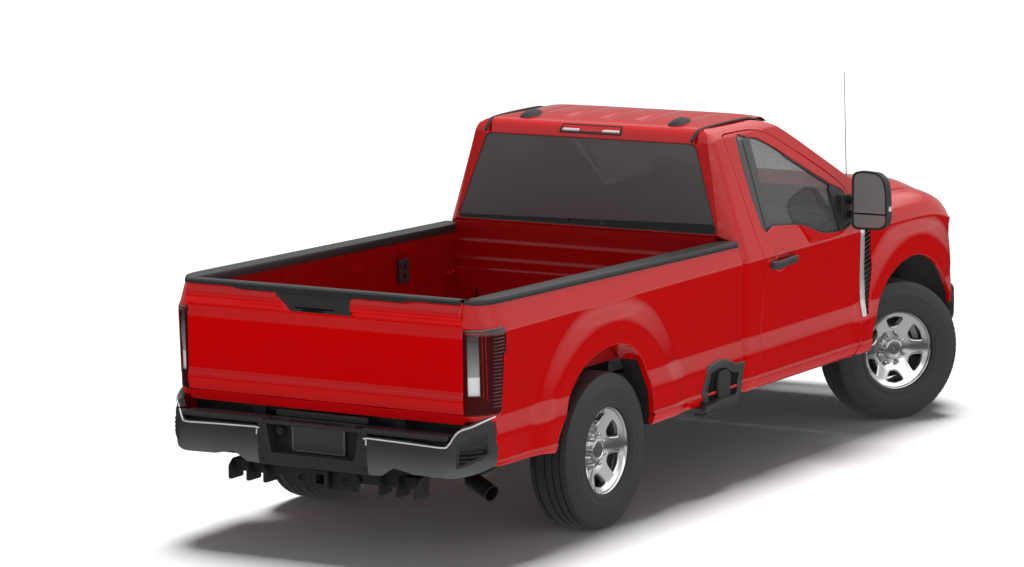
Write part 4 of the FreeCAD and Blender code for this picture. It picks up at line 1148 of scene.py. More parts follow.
    @staticmethod
    def fittings() -> None:
        """Build the floor's ribs, tie-down plates, rear sill, hooks and headboard slots."""
        floor = Shell()
        for k in range(17):
            y = -0.60 + k * 0.075
            floor.add(brick((-2.70, y - 0.021, 0.860), (-0.24, y + 0.021, 0.871), 0.005))
        SHOP.make("bed_floor_ribs", floor, SHADED_BED_PAINT, fix_normals=True)
        plate = skin(rounded([(-0.790, 1.082), (-0.790, 1.212), (-0.700, 1.212), (-0.700, 1.082)],
                             0.010, 3), lambda x, z: (x, 0.842, z), RIGHTWARD,
                     holes=[rounded([(x0, z0), (x0, z0 + 0.030), (x0 + 0.034, z0 + 0.030),
                                     (x0 + 0.034, z0)], 0.005, 2)
                            for x0, z0 in ((-0.760, 1.102), (-0.760, 1.158))],
                     columns=0.04, rows=0.04, roll=0.004, depth=0.010, hole_roll=0.002,
                     hole_depth=0.008)
        SHOP.make("tie_down_plates", plate.both(), BLACK_TRIM)
        sill = brick((-2.695, -0.905, 0.590), (-2.655, 0.905, 0.800), 0.008)
        SHOP.make("bed_rear_sill", sill, CHASSIS, fix_normals=True)
        hooks = Shell()
        for x in (-0.28, -1.55, -2.66):
            path = smooth_line([(x - 0.035, 0.846, 1.085), (x - 0.030, 0.826, 1.080),
                                (x + 0.030, 0.826, 1.080), (x + 0.035, 0.846, 1.085)], 4)
            hooks.add(tube(path, 0.0045, 8))
        SHOP.make("bed_side_hooks", hooks.both(), PAINT, fix_normals=True)
        # Thin gloss black bricks on the headboard's face stand for its slot openings: painted
        # shade in place of holes.
        slot = brick((-0.2025, 0.700, 0.905), (-0.198, 0.716, 0.985), 0.002)
        SHOP.make("headboard_slots", slot.both(), GLOSS_BLACK, fix_normals=True)

    def caps(self) -> None:
        """Build the black caps on the side rails."""
        rows = []
        for x in np.linspace(self.front + 0.002, -2.800, 90):
            z = self.cap_z(x)
            low, inner = z - 0.03, 0.846
            outer = SIDE.section.at(low) + 0.004
            if x < self.turn_start:
                spot = min(np.linspace(self.turn_start, -2.95, 120),
                           key=lambda u: abs(self.place(u, low)[0] - x))
                outer = self.place(spot, low)[1] + 0.004
            rows.append([(x, outer - 0.002, z - 0.034), (x, outer, z - 0.018),
                         (x, outer - 0.006, z - 0.005), (x, outer - 0.016, z),
                         (x, inner + 0.020, z), (x, inner + 0.006, z - 0.006),
                         (x, inner, z - 0.02), (x, inner, z - 0.052)])
        shell = grid(rows).add(fan(rows[0])).add(fan(rows[-1], -1))
        SHOP.make("bed_rail_cap_skins", shell.both(), CAP_BLACK, "root", ("bed_rail_caps",),
                  fix_normals=True, weld=0.0002)

    def liners(self) -> None:
        """Build the arch liners: painted at the top, black moulding in front."""
        line = smooth_line(self.arch, 3)
        centre = (-1.60, 0.62)
        for name, finish, low, high in (("arch_lip_liners", PAINT, 4, 27),
                                        ("arch_black_liners", BLACK_TRIM, 27, len(line) - 1)):
            rows = []
            for x, z in line[low:high + 1]:
                reach = (x - centre[0], z - centre[1])
                size = math.hypot(*reach)
                out = (x + reach[0] / size * 0.005, z + reach[1] / size * 0.005)
                rows.append([(out[0], y, out[1]) for y in (0.985, 0.95, 0.90, 0.86)])
            SHOP.make(name, grid(rows).both(), finish)


@dataclass(frozen=True)
class Tailgate:
    """The tailgate's pressed skin, its black cap and its handle panel."""

    half: float = 0.852
    profile: tuple[Pair, ...] = ((-2.785, 1.3835), (-2.8095, 1.3835), (-2.8295, 1.325),
                                 (-2.8295, 1.300), (-2.812, 1.284), (-2.806, 1.262),
                                 (-2.815, 1.205), (-2.817, 0.917), (-2.8295, 0.881),
                                 (-2.816, 0.820), (-2.815, 0.812), (-2.804, 0.810),
                                 (-2.780, 0.810))
    handle: tuple[Pair, ...] = ((-0.185, 1.272), (0.189, 1.272), (0.281, 1.356), (0.281, 1.377),
                                (-0.185, 1.377))

    def depth_at(self, z: float) -> float:
        """Return the length of the rear face at a height."""
        return looked_up(sorted((b, a) for a, b in self.face_line()), z)

    def face_line(self) -> list[Pair]:
        """Return the rear face's profile, its corners rounded."""
        return eased(self.profile[1:11], 0.012)

    def build(self) -> None:
        """Build every piece of the tailgate."""
        heights = sorted({round(z, 4) for _, z in self.face_line()})
        edge = [(self.half, z) for z in heights] + [(-self.half, z) for z in reversed(heights)]
        shell = skin(edge, lambda y, z: (self.depth_at(z), y, z), REARWARD,
                     holes=[rounded(self.handle, 0.004, 2)], columns=0.06, rows=heights,
                     depth=0.02, hole_roll=0.003, hole_depth=0.012)
        SHOP.make("tailgate_skin", shell, PAINT, "tailgate", ("tailgate",), sharp=40)
        inner = [(self.half - 0.010, 0.812), (self.half - 0.010, 1.384),
                 (-self.half + 0.010, 1.384), (-self.half + 0.010, 0.812)]
        dents = [rounded(rectangle((a, 0.84), (b, 1.30)), 0.05, 5)
                 for a, b in ((0.45, 0.78), (-0.16, 0.16), (-0.78, -0.45))]
        inside = skin(inner, upright(-2.7665), FORWARD, holes=dents, columns=0.08, rows=0.08,
                      roll=0.003, depth=0.004, hole_roll=0.002, hole_depth=0.0005)
        SHOP.make("tailgate_inner_skin", inside, SHADED_BED_PAINT, "tailgate")
        valance = skin([(self.half, 0.757), (self.half, 0.800), (-self.half, 0.800),
                        (-self.half, 0.757)], lambda y, z: (-2.804 + 0.03 * (0.80 - z), y, z),
                       REARWARD, columns=0.08, roll=0.003, depth=0.016)
        SHOP.make("bed_rear_valance", valance, PAINT)
        self.cap()
        self.handle_panel()

    def cap(self) -> None:
        """Build the cap: a rear lip, deeper over the middle, and a rounded top."""
        rows = []
        for y in np.linspace(self.half, -self.half, 61):
            deep = 0.006 + 0.012 * clamp((0.56 - abs(y)) / 0.05)
            rows.append([(-2.8325, y, 1.383 - deep), (-2.835, y, 1.386 - deep),
                         (-2.835, y, 1.393), (-2.830, y, 1.400), (-2.822, y, 1.4035),
                         (-2.786, y, 1.4035), (-2.776, y, 1.4015), (-2.767, y, 1.396),
                         (-2.7665, y, 1.384)])
        shell = grid(rows).add(fan(rows[0])).add(fan(rows[-1], -1))
        SHOP.make("tailgate_cap_skin", shell, CAP_BLACK, "tailgate", ("tailgate_cap",),
                  fix_normals=True, weld=0.0002)

    def handle_panel(self) -> None:
        """Build the black panel with its pull, grip hollow and finger slot."""
        outline = rounded([(-0.182, 1.274), (0.188, 1.274), (0.278, 1.357), (0.278, 1.381),
                           (-0.182, 1.381)], 0.006, 3)
        pull = rounded(rectangle((-0.085, 1.284), (0.165, 1.345)), 0.012)
        panel = skin(outline, upright(-2.8255), REARWARD, holes=[pull], roll=0.003, depth=0.014,
                     hole_depth=0.008)
        lever = skin(rounded(rectangle((-0.082, 1.296), (0.162, 1.342)), 0.010),
                     lambda y, z: (-2.824 + 0.004 * ((z - 1.342) / 0.046) ** 2, y, z),
                     REARWARD, rows=0.006, roll=0.003, depth=0.008)
        floor = skin(rounded(rectangle((-0.09, 1.277), (0.17, 1.349)), 0.012),
                     upright(-2.8195), REARWARD, columns=0.05, rows=0.05, roll=0.0)
        slot = slab(rounded([(-0.026, 1.2755), (0.117, 1.2755), (0.112, 1.2865),
                             (-0.021, 1.2865)], 0.003, 2), "yz", -2.8285, -2.820, 0.001)
        SHOP.make("tailgate_handle_bezel", panel, BLACK_TRIM, "tailgate")
        SHOP.make("tailgate_handle_lever", lever, BLACK_TRIM, "tailgate")
        SHOP.make("tailgate_handle_floor", floor, GLOSS_BLACK, "tailgate")
        SHOP.make("tailgate_handle_slot", slot, GLOSS_BLACK, "tailgate", fix_normals=True)


@dataclass(frozen=True)
class TailLamp:
    """A tail lamp: smoked housing, reflector strip, clear lower cell and ribbed side."""

    low: float = 0.812
    high: float = 1.243
    strip: Pair = (0.876, 0.934)
    strip_heights: Pair = (0.905, 1.215)

    def outline(self) -> list[Pair]:
        """Return the lamp's outline on the bed surface's coordinates."""
        rear = [(BED.tail_u(z) + 0.004, z) for z in np.linspace(self.low, self.high, 12)]
        front = [(-2.690, 1.247), (-2.644, 1.252), (-2.625, 1.225), (-2.625, 1.125),
                 (-2.645, 1.104), (-2.645, 1.050), (-2.659, 0.818), (-2.677, 0.808)]
        return [*rear, *front]

    def bulged(self, u: float, z: float) -> Triple:
        """Return the lens's point, standing slightly proud of the body."""
        x, y, height = BED.place(u, z)
        turn = clamp((BED.turn_start - u) / 0.25)
        return (x - 0.004 * turn, y + 0.004 * (1 - turn), height)

    def region(self, low: float, high: float, inner: float, outer: float) -> list[Pair]:
        """Return an outline on the rear face between heights and half widths."""
        heights = np.linspace(low, high, 6)
        return rounded([*[(BED.tail_u(z, outer), z) for z in heights],
                        *[(BED.tail_u(z, inner), z) for z in reversed(heights)]], 0.006, 3)

    def build(self) -> None:
        """Build both lamps."""
        z0, z1 = self.strip_heights
        inner, outer = self.strip
        window = self.region(z0, z1, inner, outer)
        lens = skin(self.outline(), self.bulged, LEFTWARD, holes=[window], columns=0.02,
                    roll=0.005, depth=0.02, hole_roll=0.003, hole_depth=0.010)

        def sunk(u: float, z: float) -> Triple:
            """Return a point just behind the lens."""
            x, y, height = self.bulged(u, z)
            return (x + 0.009, y - 0.003, height)

        def bowed(u: float, z: float) -> Triple:
            """Return a reflector point that swells towards the strip's middle."""
            x, y, height = sunk(u, z)
            return (x - 0.006 * math.sin(math.pi * clamp((z - 1.0) / 0.215)), y, height)

        clear = skin(self.region(z0 - 0.001, 1.003, inner - 0.001, outer + 0.001), sunk,
                     REARWARD, columns=0.02, roll=0.0)
        mirror = skin(self.region(1.003, z1 + 0.001, inner - 0.001, outer + 0.001), bowed,
                      REARWARD, columns=0.01, rows=0.012, roll=0.0)
        beads = Shell()
        for drop, reach in ((0.012, 0.010), (0.026, 0.022)):
            path = [(BED.tail_u(z, outer + reach), z)
                    for z in np.linspace(z0 - drop, z1 + drop - 0.006, 14)]
            over = [(BED.tail_u(z1 + drop, w), z1 + drop)
                    for w in np.linspace(outer + reach - 0.008, inner, 4)]
            beads.add(tube([self.bulged(u, z) for u, z in path + over], 0.0016, 6))
        ribs = Shell()
        for k in range(21):
            z = 0.845 + k * 0.0185
            front = -2.640 if z > 1.105 else -2.657
            path = [(u, z + 0.002 * math.sin(u * 300)) for u in np.linspace(front, -2.715, 7)]
            ribs.add(tube([self.bulged(u, h) for u, h in path], 0.0012, 5))
        for side in Side:
            SHOP.make(f"tail_lens_{side.word}", lens.on(side), SMOKED_RED, "root",
                      ("tail_lamps",) if side is Side.LEFT else ())
            SHOP.sided(side, "tail_clear_cell", clear, WHITE_LENS)
            SHOP.sided(side, "tail_reflector", mirror, REFLECTOR)
            SHOP.sided(side, "tail_light_lines", beads, BRIGHT_RED)
            SHOP.sided(side, "tail_lens_ribs", ribs, SMOKED_RED)


@dataclass(frozen=True)
class Cab:
    """The cab's outer skin: sides, back, roof and glass."""

    back_low: float = -0.118
    glass_foot: Pair = (-0.160, 1.378)
    glass_head: Pair = (-0.095, 1.885)
    glass_half: Pair = (0.862, 0.690)
    corner: tuple[Pair, ...] = ((0.02, 0.0), (-0.040, 0.0), (-0.092, 0.020), (-0.137, 0.060),
                                (-0.161, 0.084), (-0.180, 0.105))
    ditch: tuple[Pair, ...] = ((-0.045, 1.950), (0.0, 1.957), (0.200, 1.957), (0.400, 1.957),
                               (0.520, 1.950), (0.620, 1.928), (0.720, 1.888), (0.860, 1.815),
                               (1.100, 1.680), (1.400, 1.508), (1.560, 1.414), (1.600, 1.388))
    door: tuple[Pair, ...] = ((0.067, 1.905), (0.085, 1.700), (0.111, 1.400), (0.132, 1.250),
                              (0.140, 1.100), (0.128, 0.950), (0.106, 0.783), (0.086, 0.650),
                              (0.072, 0.513))
    window: tuple[Pair, ...] = ((0.200, 1.388), (0.330, 1.377), (0.444, 1.366), (0.595, 1.350),
                                (0.700, 1.328), (0.800, 1.290), (0.890, 1.266), (1.057, 1.252),
                                (1.180, 1.262), (1.262, 1.300), (1.262, 1.455), (1.130, 1.524),
                                (1.014, 1.582), (0.880, 1.650), (0.750, 1.717), (0.610, 1.790),
                                (0.470, 1.852), (0.400, 1.872), (0.330, 1.880), (0.190, 1.872))
    roof_line: tuple[Pair, ...] = ((-0.095, 1.885), (-0.075, 1.926), (-0.047, 1.952),
                                   (0.0, 1.9625), (0.205, 1.980), (0.400, 1.988),
                                   (0.540, 1.983), (0.640, 1.961), (0.720, 1.921))
    roof_across: tuple[Pair, ...] = ((0.0, 1.9885), (0.200, 1.988), (0.520, 1.979),
                                     (0.655, 1.967), (0.700, 1.957), (0.72, 1.951))
    screen: tuple[Triple, Triple] = ((0.735, 0.664, 1.911), (1.493, 0.852, 1.424))
    tub_half: float = 0.80
    tub_low: float = 0.690

    def back_x(self, z: float) -> float:
        """Return the length of the cab's back at a height."""
        (foot, foot_z), (head, head_z) = self.glass_foot, self.glass_head
        return looked_up(((0.4, self.back_low), (1.350, self.back_low), (foot_z, foot),
                          (head_z, head), (1.926, -0.075), (1.952, -0.047), (1.962, 0.0)), z)

    def behind(self, amount: float = 0.0) -> Place:
        """Return the placing of an outline (y, z) on the cab's back, moved rearward."""
        return lambda y, z: (self.back_x(z) - amount, y, z)

    def turn(self, x: float) -> float:
        """Return how far the rear corner has turned in at a length."""
        return 0.0 if x >= -0.030 else looked_up(TURNED_CORNER * (-1, 1), -x)

    def place(self, u: float, z: float) -> Triple:
        """Return the side's point; u runs on round the rear corner."""
        width = SIDE.width(max(u, -0.2), z)
        back = self.back_x(z)
        if u >= back:
            return (u, width - self.turn(u), z)
        return (back, width - self.turn(back) - (back - u), z)

    def door_outline(self) -> list[Pair]:
        """Return the door's outline, without its shut gap."""
        rear = smooth_line(self.door, 5)
        low = [(0.085, 0.506), (0.60, 0.503), (1.225, 0.505)]
        front = [(1.245, 0.516), (1.286, 0.598), (1.300, 0.680), (1.302, 0.760), (1.302, 1.180),
                 (1.302, 1.300), (1.302, 1.395), (1.292, 1.440), (1.262, 1.490)]
        frame_line = [(1.220, 1.520), (1.100, 1.592), (0.971, 1.664), (0.800, 1.754),
                      (0.644, 1.834), (0.540, 1.878), (0.470, 1.896), (0.380, 1.908),
                      (0.250, 1.913), (0.100, 1.913)]
        return [*rear, *low, *front, *frame_line]

    def build(self) -> None:
        """Build every piece of the cab's skin."""
        self.sides()
        self.doors()
        self.roof()
        self.back()
        self.windscreen()
        self.tub()
        self.interior()

    def sides(self) -> None:
        """Build the pillars, sills and roof rails round the doors."""
        rear = [(self.back_x(z) - 0.002, z) for z in np.linspace(1.950, 0.50, 60)]
        low = [(x, 0.490) for x in np.linspace(-0.05, 1.22, 12)]
        door = [self._grown(point) for point in self.door_outline()]
        corner = next(i for i, (x, z) in enumerate(door) if z < 0.56 and x > 1.20)
        frame_line = [point for point in door[corner + 1:] if point[1] > 1.345]
        top = list(reversed(smooth_line(self.ditch, 5)))
        outline = [*rear, *low, (1.235, 0.490), *reversed(door[:corner + 1]),
                   *reversed(frame_line), (1.318, 1.345), (1.318, 1.338), (1.60, 1.338), *top]
        shell = skin(outline, self.place, LEFTWARD, columns=0.024,
                     rows=SIDE.rows(0.48, 1.96, 0.02), roll=0.003, depth=0.03)
        SHOP.make("cab_side_skins", shell.both(), PAINT, "root", ("cab_shell",))

    @staticmethod
    def _grown(point: Pair) -> Pair:
        """Return a door outline's point moved out by the shut gap."""
        (x, z), gap, half, tall = point, 0.010, 0.62, 0.70
        across, up = x - 0.70, z - 1.20
        length = max(abs(across) / half, abs(up) / tall, 1e-6)
        return (x + gap * across / length / half, z + gap * up / length / tall)

    def inset(self, amount: float) -> Place:
        """Return the side's surface moved inward."""
        def sunk(u: float, z: float) -> Triple:
            """Return the moved point."""
            x, y, height = self.place(u, z)
            return (x, y - amount, height)
        return sunk

    def doors(self) -> None:
        """Build the door skins, their glass and the black window surrounds."""
        hole = smooth_line(self.window, 3, closed=True)
        shell = skin(self.door_outline(), self.place, LEFTWARD, holes=[hole], columns=0.024,
                     rows=SIDE.rows(0.48, 1.93, 0.02), depth=0.03, hole_roll=0.003,
                     hole_depth=0.012)
        pane = skin(hole, self.inset(0.014), LEFTWARD, columns=0.04, rows=0.04, roll=0.0)
        rim = [(x + (0.012 if x < 0.7 else -0.010), z + (0.009 if z < 1.4 else -0.011))
               for x, z in hole]
        seal = skin(hole, self.inset(0.004), LEFTWARD, holes=[rim], columns=0.05, rows=0.05,
                    roll=0.001, depth=0.010)
        post = [(0.200, 1.390), (0.300, 1.380), (0.318, 1.500), (0.340, 1.700), (0.352, 1.876),
                (0.190, 1.871)]
        applique = skin(rounded(post, 0.006, 2), self.inset(0.0035), LEFTWARD, rows=0.04,
                        roll=0.002, depth=0.008)
        groove = tube([self.inset(0.002)(x, z) for x, z in ((0.246, 1.392), (0.254, 1.55),
                                                            (0.268, 1.865))], 0.0022, 6)
        sail = skin(rounded([(1.085, 1.262), (1.250, 1.300), (1.252, 1.452), (1.128, 1.517),
                             (1.092, 1.500)], 0.012, 3), self.inset(0.001), LEFTWARD,
                    columns=0.02, roll=0.003, depth=0.014)
        for side in Side:
            SHOP.sided(side, "door_skin", shell, PAINT, "door", "door")
            SHOP.sided(side, "door_pane", pane, DOOR_GLASS, "door", "door_glass")
            SHOP.sided(side, "door_seal", seal, RUBBER, "door")
            SHOP.sided(side, "door_applique", applique, SATIN_BLACK, "door")
            SHOP.sided(side, "door_applique_line", groove, GLOSS_BLACK, "door")
            SHOP.sided(side, "mirror_sail", sail, BLACK_TRIM, "door")

    def roof_z(self, x: float, y: float) -> float:
        """Return the roof's height, the lower of its two profiles with a soft join."""
        along, across = looked_up(ROOF_ALONG, x), looked_up(ROOF_ACROSS, abs(y))
        soft = 0.006
        gap = along - across
        if abs(gap) >= soft:
            return min(along, across)
        return (along + across) / 2 - (gap * gap / soft + soft) / 4

    def roof(self) -> None:
        """Build the roof with its lengthwise ribs and the header over the rear glass."""
        rows = []
        for x in [*np.linspace(-0.095, 0.02, 24), *np.linspace(0.05, 0.735, 40)]:
            fade = min(clamp((x - 0.05) / 0.07), clamp((0.56 - x) / 0.07))
            rows.append([(x, y, self.roof_z(x, y) - self._rib(y) * fade)
                         for y in (v * 0.702 for v in np.linspace(-1.0, 1.0, 141))])
        SHOP.make("roof_skin", grid(rows), PAINT, sharp=60)
        path = [(-0.118, 0.678, 1.899), (-0.098, 0.679, 1.922), (-0.068, 0.682, 1.945),
                (-0.030, 0.686, 1.959), (0.05, 0.690, 1.965), (0.20, 0.692, 1.968),
                (0.40, 0.692, 1.969), (0.52, 0.692, 1.964), (0.62, 0.695, 1.943),
                (0.72, 0.702, 1.905), (0.86, 0.722, 1.838)]
        section = ((-0.011, -0.004), (-0.009, 0.001), (0.0, 0.003), (0.009, 0.001),
                   (0.011, -0.006), (0.0, -0.012))
        ditch = grid([[(x, y + dy, z + dz) for dy, dz in section]
                      for x, y, z in smooth_line(path, 5)], closed=True)
        SHOP.make("roof_ditch_mouldings", ditch.both(), BLACK_TRIM, fix_normals=True)

    @staticmethod
    def _rib(y: float) -> float:
        """Return the depth of the roof's pressed grooves at a width."""
        depth = 0.0
        for middle in (-0.46, -0.23, 0.0, 0.23, 0.46):
            off = abs(y - middle) / 0.055
            if off < 1:
                depth = max(depth, 0.005 * (1 - off * off) ** 2)
        return depth

    def back(self) -> None:
        """Build the back panel, the wide rear glass and its black lower band."""
        def edge(z: float) -> float:
            """Return the back's half width where it meets the side."""
            return SIDE.section.at(z) - self.turn(self.back_x(z)) + 0.002

        heights = [*np.linspace(1.950, 1.385, 30), 1.378, 1.366, 1.350, 1.30, 1.20]
        outline = [(edge(z), z) for z in reversed(heights)] + [(-edge(z), z) for z in heights]
        (foot, head), (low, high) = self.glass_half, (self.glass_foot[1], self.glass_head[1])
        hole = rounded([(foot - 0.001, low + 0.003), (head, high - 0.003),
                        (-head, high - 0.003), (-foot + 0.001, low + 0.003)], 0.035, 6)
        shell = skin(outline, self.behind(), REARWARD, holes=[hole], columns=0.05,
                     rows=[1.25, 1.32, 1.350, 1.364, 1.378, 1.39, 1.885, 1.90, 1.913, 1.926,
                           1.935, 1.943], roll=0.0, hole_roll=0.003, hole_depth=0.008)
        SHOP.make("cab_back_skin", shell, PAINT)
        pane = skin(hole, self.behind(-0.004), REARWARD, columns=0.05, rows=0.05, roll=0.0)
        SHOP.make("rear_glass_pane", pane, DARK_GLASS, "root", ("rear_window",))
        seal_hole = rounded([(foot - 0.010, low + 0.011), (head - 0.008, high - 0.010),
                             (-head + 0.008, high - 0.010), (-foot + 0.010, low + 0.011)],
                            0.032, 6)
        seal = skin(hole, self.behind(-0.002), REARWARD, holes=[seal_hole], columns=0.06,
                    rows=0.06, roll=0.001, depth=0.002)
        SHOP.make("rear_glass_seal", seal, RUBBER)
        band = [(foot - 0.010, 1.388), (-foot + 0.012, 1.388), (-foot + 0.030, 1.442),
                (foot - 0.016, 1.404)]
        strip = skin(rounded(band, 0.006, 2), self.behind(-0.0035), REARWARD, columns=0.06,
                     roll=0.0)
        SHOP.make("rear_glass_band", strip, GLOSS_BLACK)
        ledge = Shell()
        for z, proud in ((1.366, 0.003), (1.340, 0.002)):
            ledge.add(tube([self.behind(proud)(y, z) for y in np.linspace(0.83, -0.83, 12)],
                           0.003, 8))
        SHOP.make("cab_back_beads", ledge, PAINT)

    def windscreen(self) -> None:
        """Build the bowed windscreen, its black border and the wipers' cowl."""
        (head_x, head, top), (foot_x, foot, low) = self.screen

        def glass(v: float, t: float) -> Triple:
            """Return the screen's point; v runs across and t from the head to the foot."""
            x = head_x + (foot_x - head_x) * t + 0.040 * (1 - v * v)
            return (x, v * (head + (foot - head) * t),
                    top + (low - top) * t - 0.016 * v * v * (1 - t))

        pane = grid([[glass(v, t) for v in np.linspace(-1, 1, 41)] for t in np.linspace(0, 1, 21)])
        border = Shell()
        for t in (0.0, 1.0):
            border.add(tube([glass(v, t) for v in np.linspace(-1, 1, 30)], 0.008, 8))
        for v in (1.0, -1.0):
            border.add(tube([glass(v, t) for t in np.linspace(0, 1, 16)], 0.008, 8))
        cowl = grid([[(1.485 + 0.080 * k + 0.030 * (1 - v * v), v * 0.80,
                       1.412 - 0.024 * k - 0.040 * v * v) for v in np.linspace(-1, 1, 31)]
                     for k in range(2)])
        SHOP.make("windscreen_pane", pane, FRONT_GLASS, "root", ("windscreen",),
                  fix_normals=True)
        SHOP.make("windscreen_border", border, RUBBER, fix_normals=True)
        SHOP.make("wiper_cowl", cowl, BLACK_TRIM)

    def tub(self) -> None:
        """Build the cab's inner walls, floor, lining and the doors' inner trims."""
        half, base = self.tub_half, self.tub_low
        floor = brick((-0.07, -half, base), (1.385, half, 0.722), 0.01)
        floor.add(brick((1.375, -half, base), (1.392, half, 1.335), 0.005))
        floor.add(brick((-0.085, -half, base), (-0.068, half, 1.360), 0.005))
        for sign in (1, -1):
            low, high = sorted((sign * half, sign * 0.868))
            floor.add(brick((-0.05, low, 0.510), (1.385, high, 0.722), 0.012))
            floor.add(brick((1.318, low, 0.52), (1.392, high, 1.36), 0.01))
            floor.add(brick((-0.07, low, 0.52), (0.060, high, 1.37), 0.01))
        lining = grid([[(x, y, self.roof_z(x, y) - 0.030) for y in np.linspace(-0.66, 0.66, 25)]
                       for x in np.linspace(-0.03, 0.70, 16)])
        SHOP.make("cab_inner_walls", floor, TRIM_GREY, fix_normals=True)
        SHOP.make("cab_roof_lining", lining, TRIM_GREY, fix_normals=True)
        outline = [(x * 0.965 + 0.025, z * 0.985 + 0.010) for x, z in self.door_outline()]
        hole = smooth_line(self.window, 3, closed=True)

        def inner(u: float, z: float) -> Triple:
            """Return the door trim's point: thick below the sill, thin round the glass."""
            return self.inset(0.032 + 0.075 * clamp((1.33 - z) / 0.06))(u, z)

        trim = skin(outline, inner, RIGHTWARD, holes=[hole], columns=0.04,
                    rows=[0.56, 0.8, 1.0, 1.2, 1.27, 1.285, 1.30, 1.315, 1.33, 1.345, 1.5, 1.7,
                          1.8], roll=0.006, depth=0.022, hole_roll=0.003, hole_depth=0.010)
        rest = slab(rounded([(0.30, 0.98), (0.95, 1.03), (0.95, 1.09), (0.30, 1.05)], 0.02, 4),
                    "xz", 0.842, 0.893, 0.012, 3)
        for side in Side:
            SHOP.sided(side, "door_trim", trim, TRIM_GREY, "door")
            SHOP.sided(side, "door_arm_rest", rest, BLACK_TRIM, "door", fix_normals=True)

    @staticmethod
    def interior() -> None:
        """Build the bench's padded pieces and its head rests."""
        for name, low, high in (("seat_cushion", (0.10, -0.70, 0.98), (0.62, 0.70, 1.12)),
                                ("seat_back", (-0.02, -0.70, 1.05), (0.12, 0.70, 1.58))):
            shell = Shell()
            edges = (-0.70, -0.24, 0.24, 0.70)
            for a, b in zip(edges, edges[1:]):
                shell.add(brick((low[0], a + 0.004, low[2]), (high[0], b - 0.004, high[2]),
                                0.045, 4))
            SHOP.make(name, shell, CLOTH, fix_normals=True)
        rests = Shell()
        for y in (0.46, -0.46):
            rests.add(brick((-0.02, y - 0.13, 1.60), (0.075, y + 0.13, 1.76), 0.035, 4))
        SHOP.make("head_rests", rests, CLOTH, fix_normals=True)


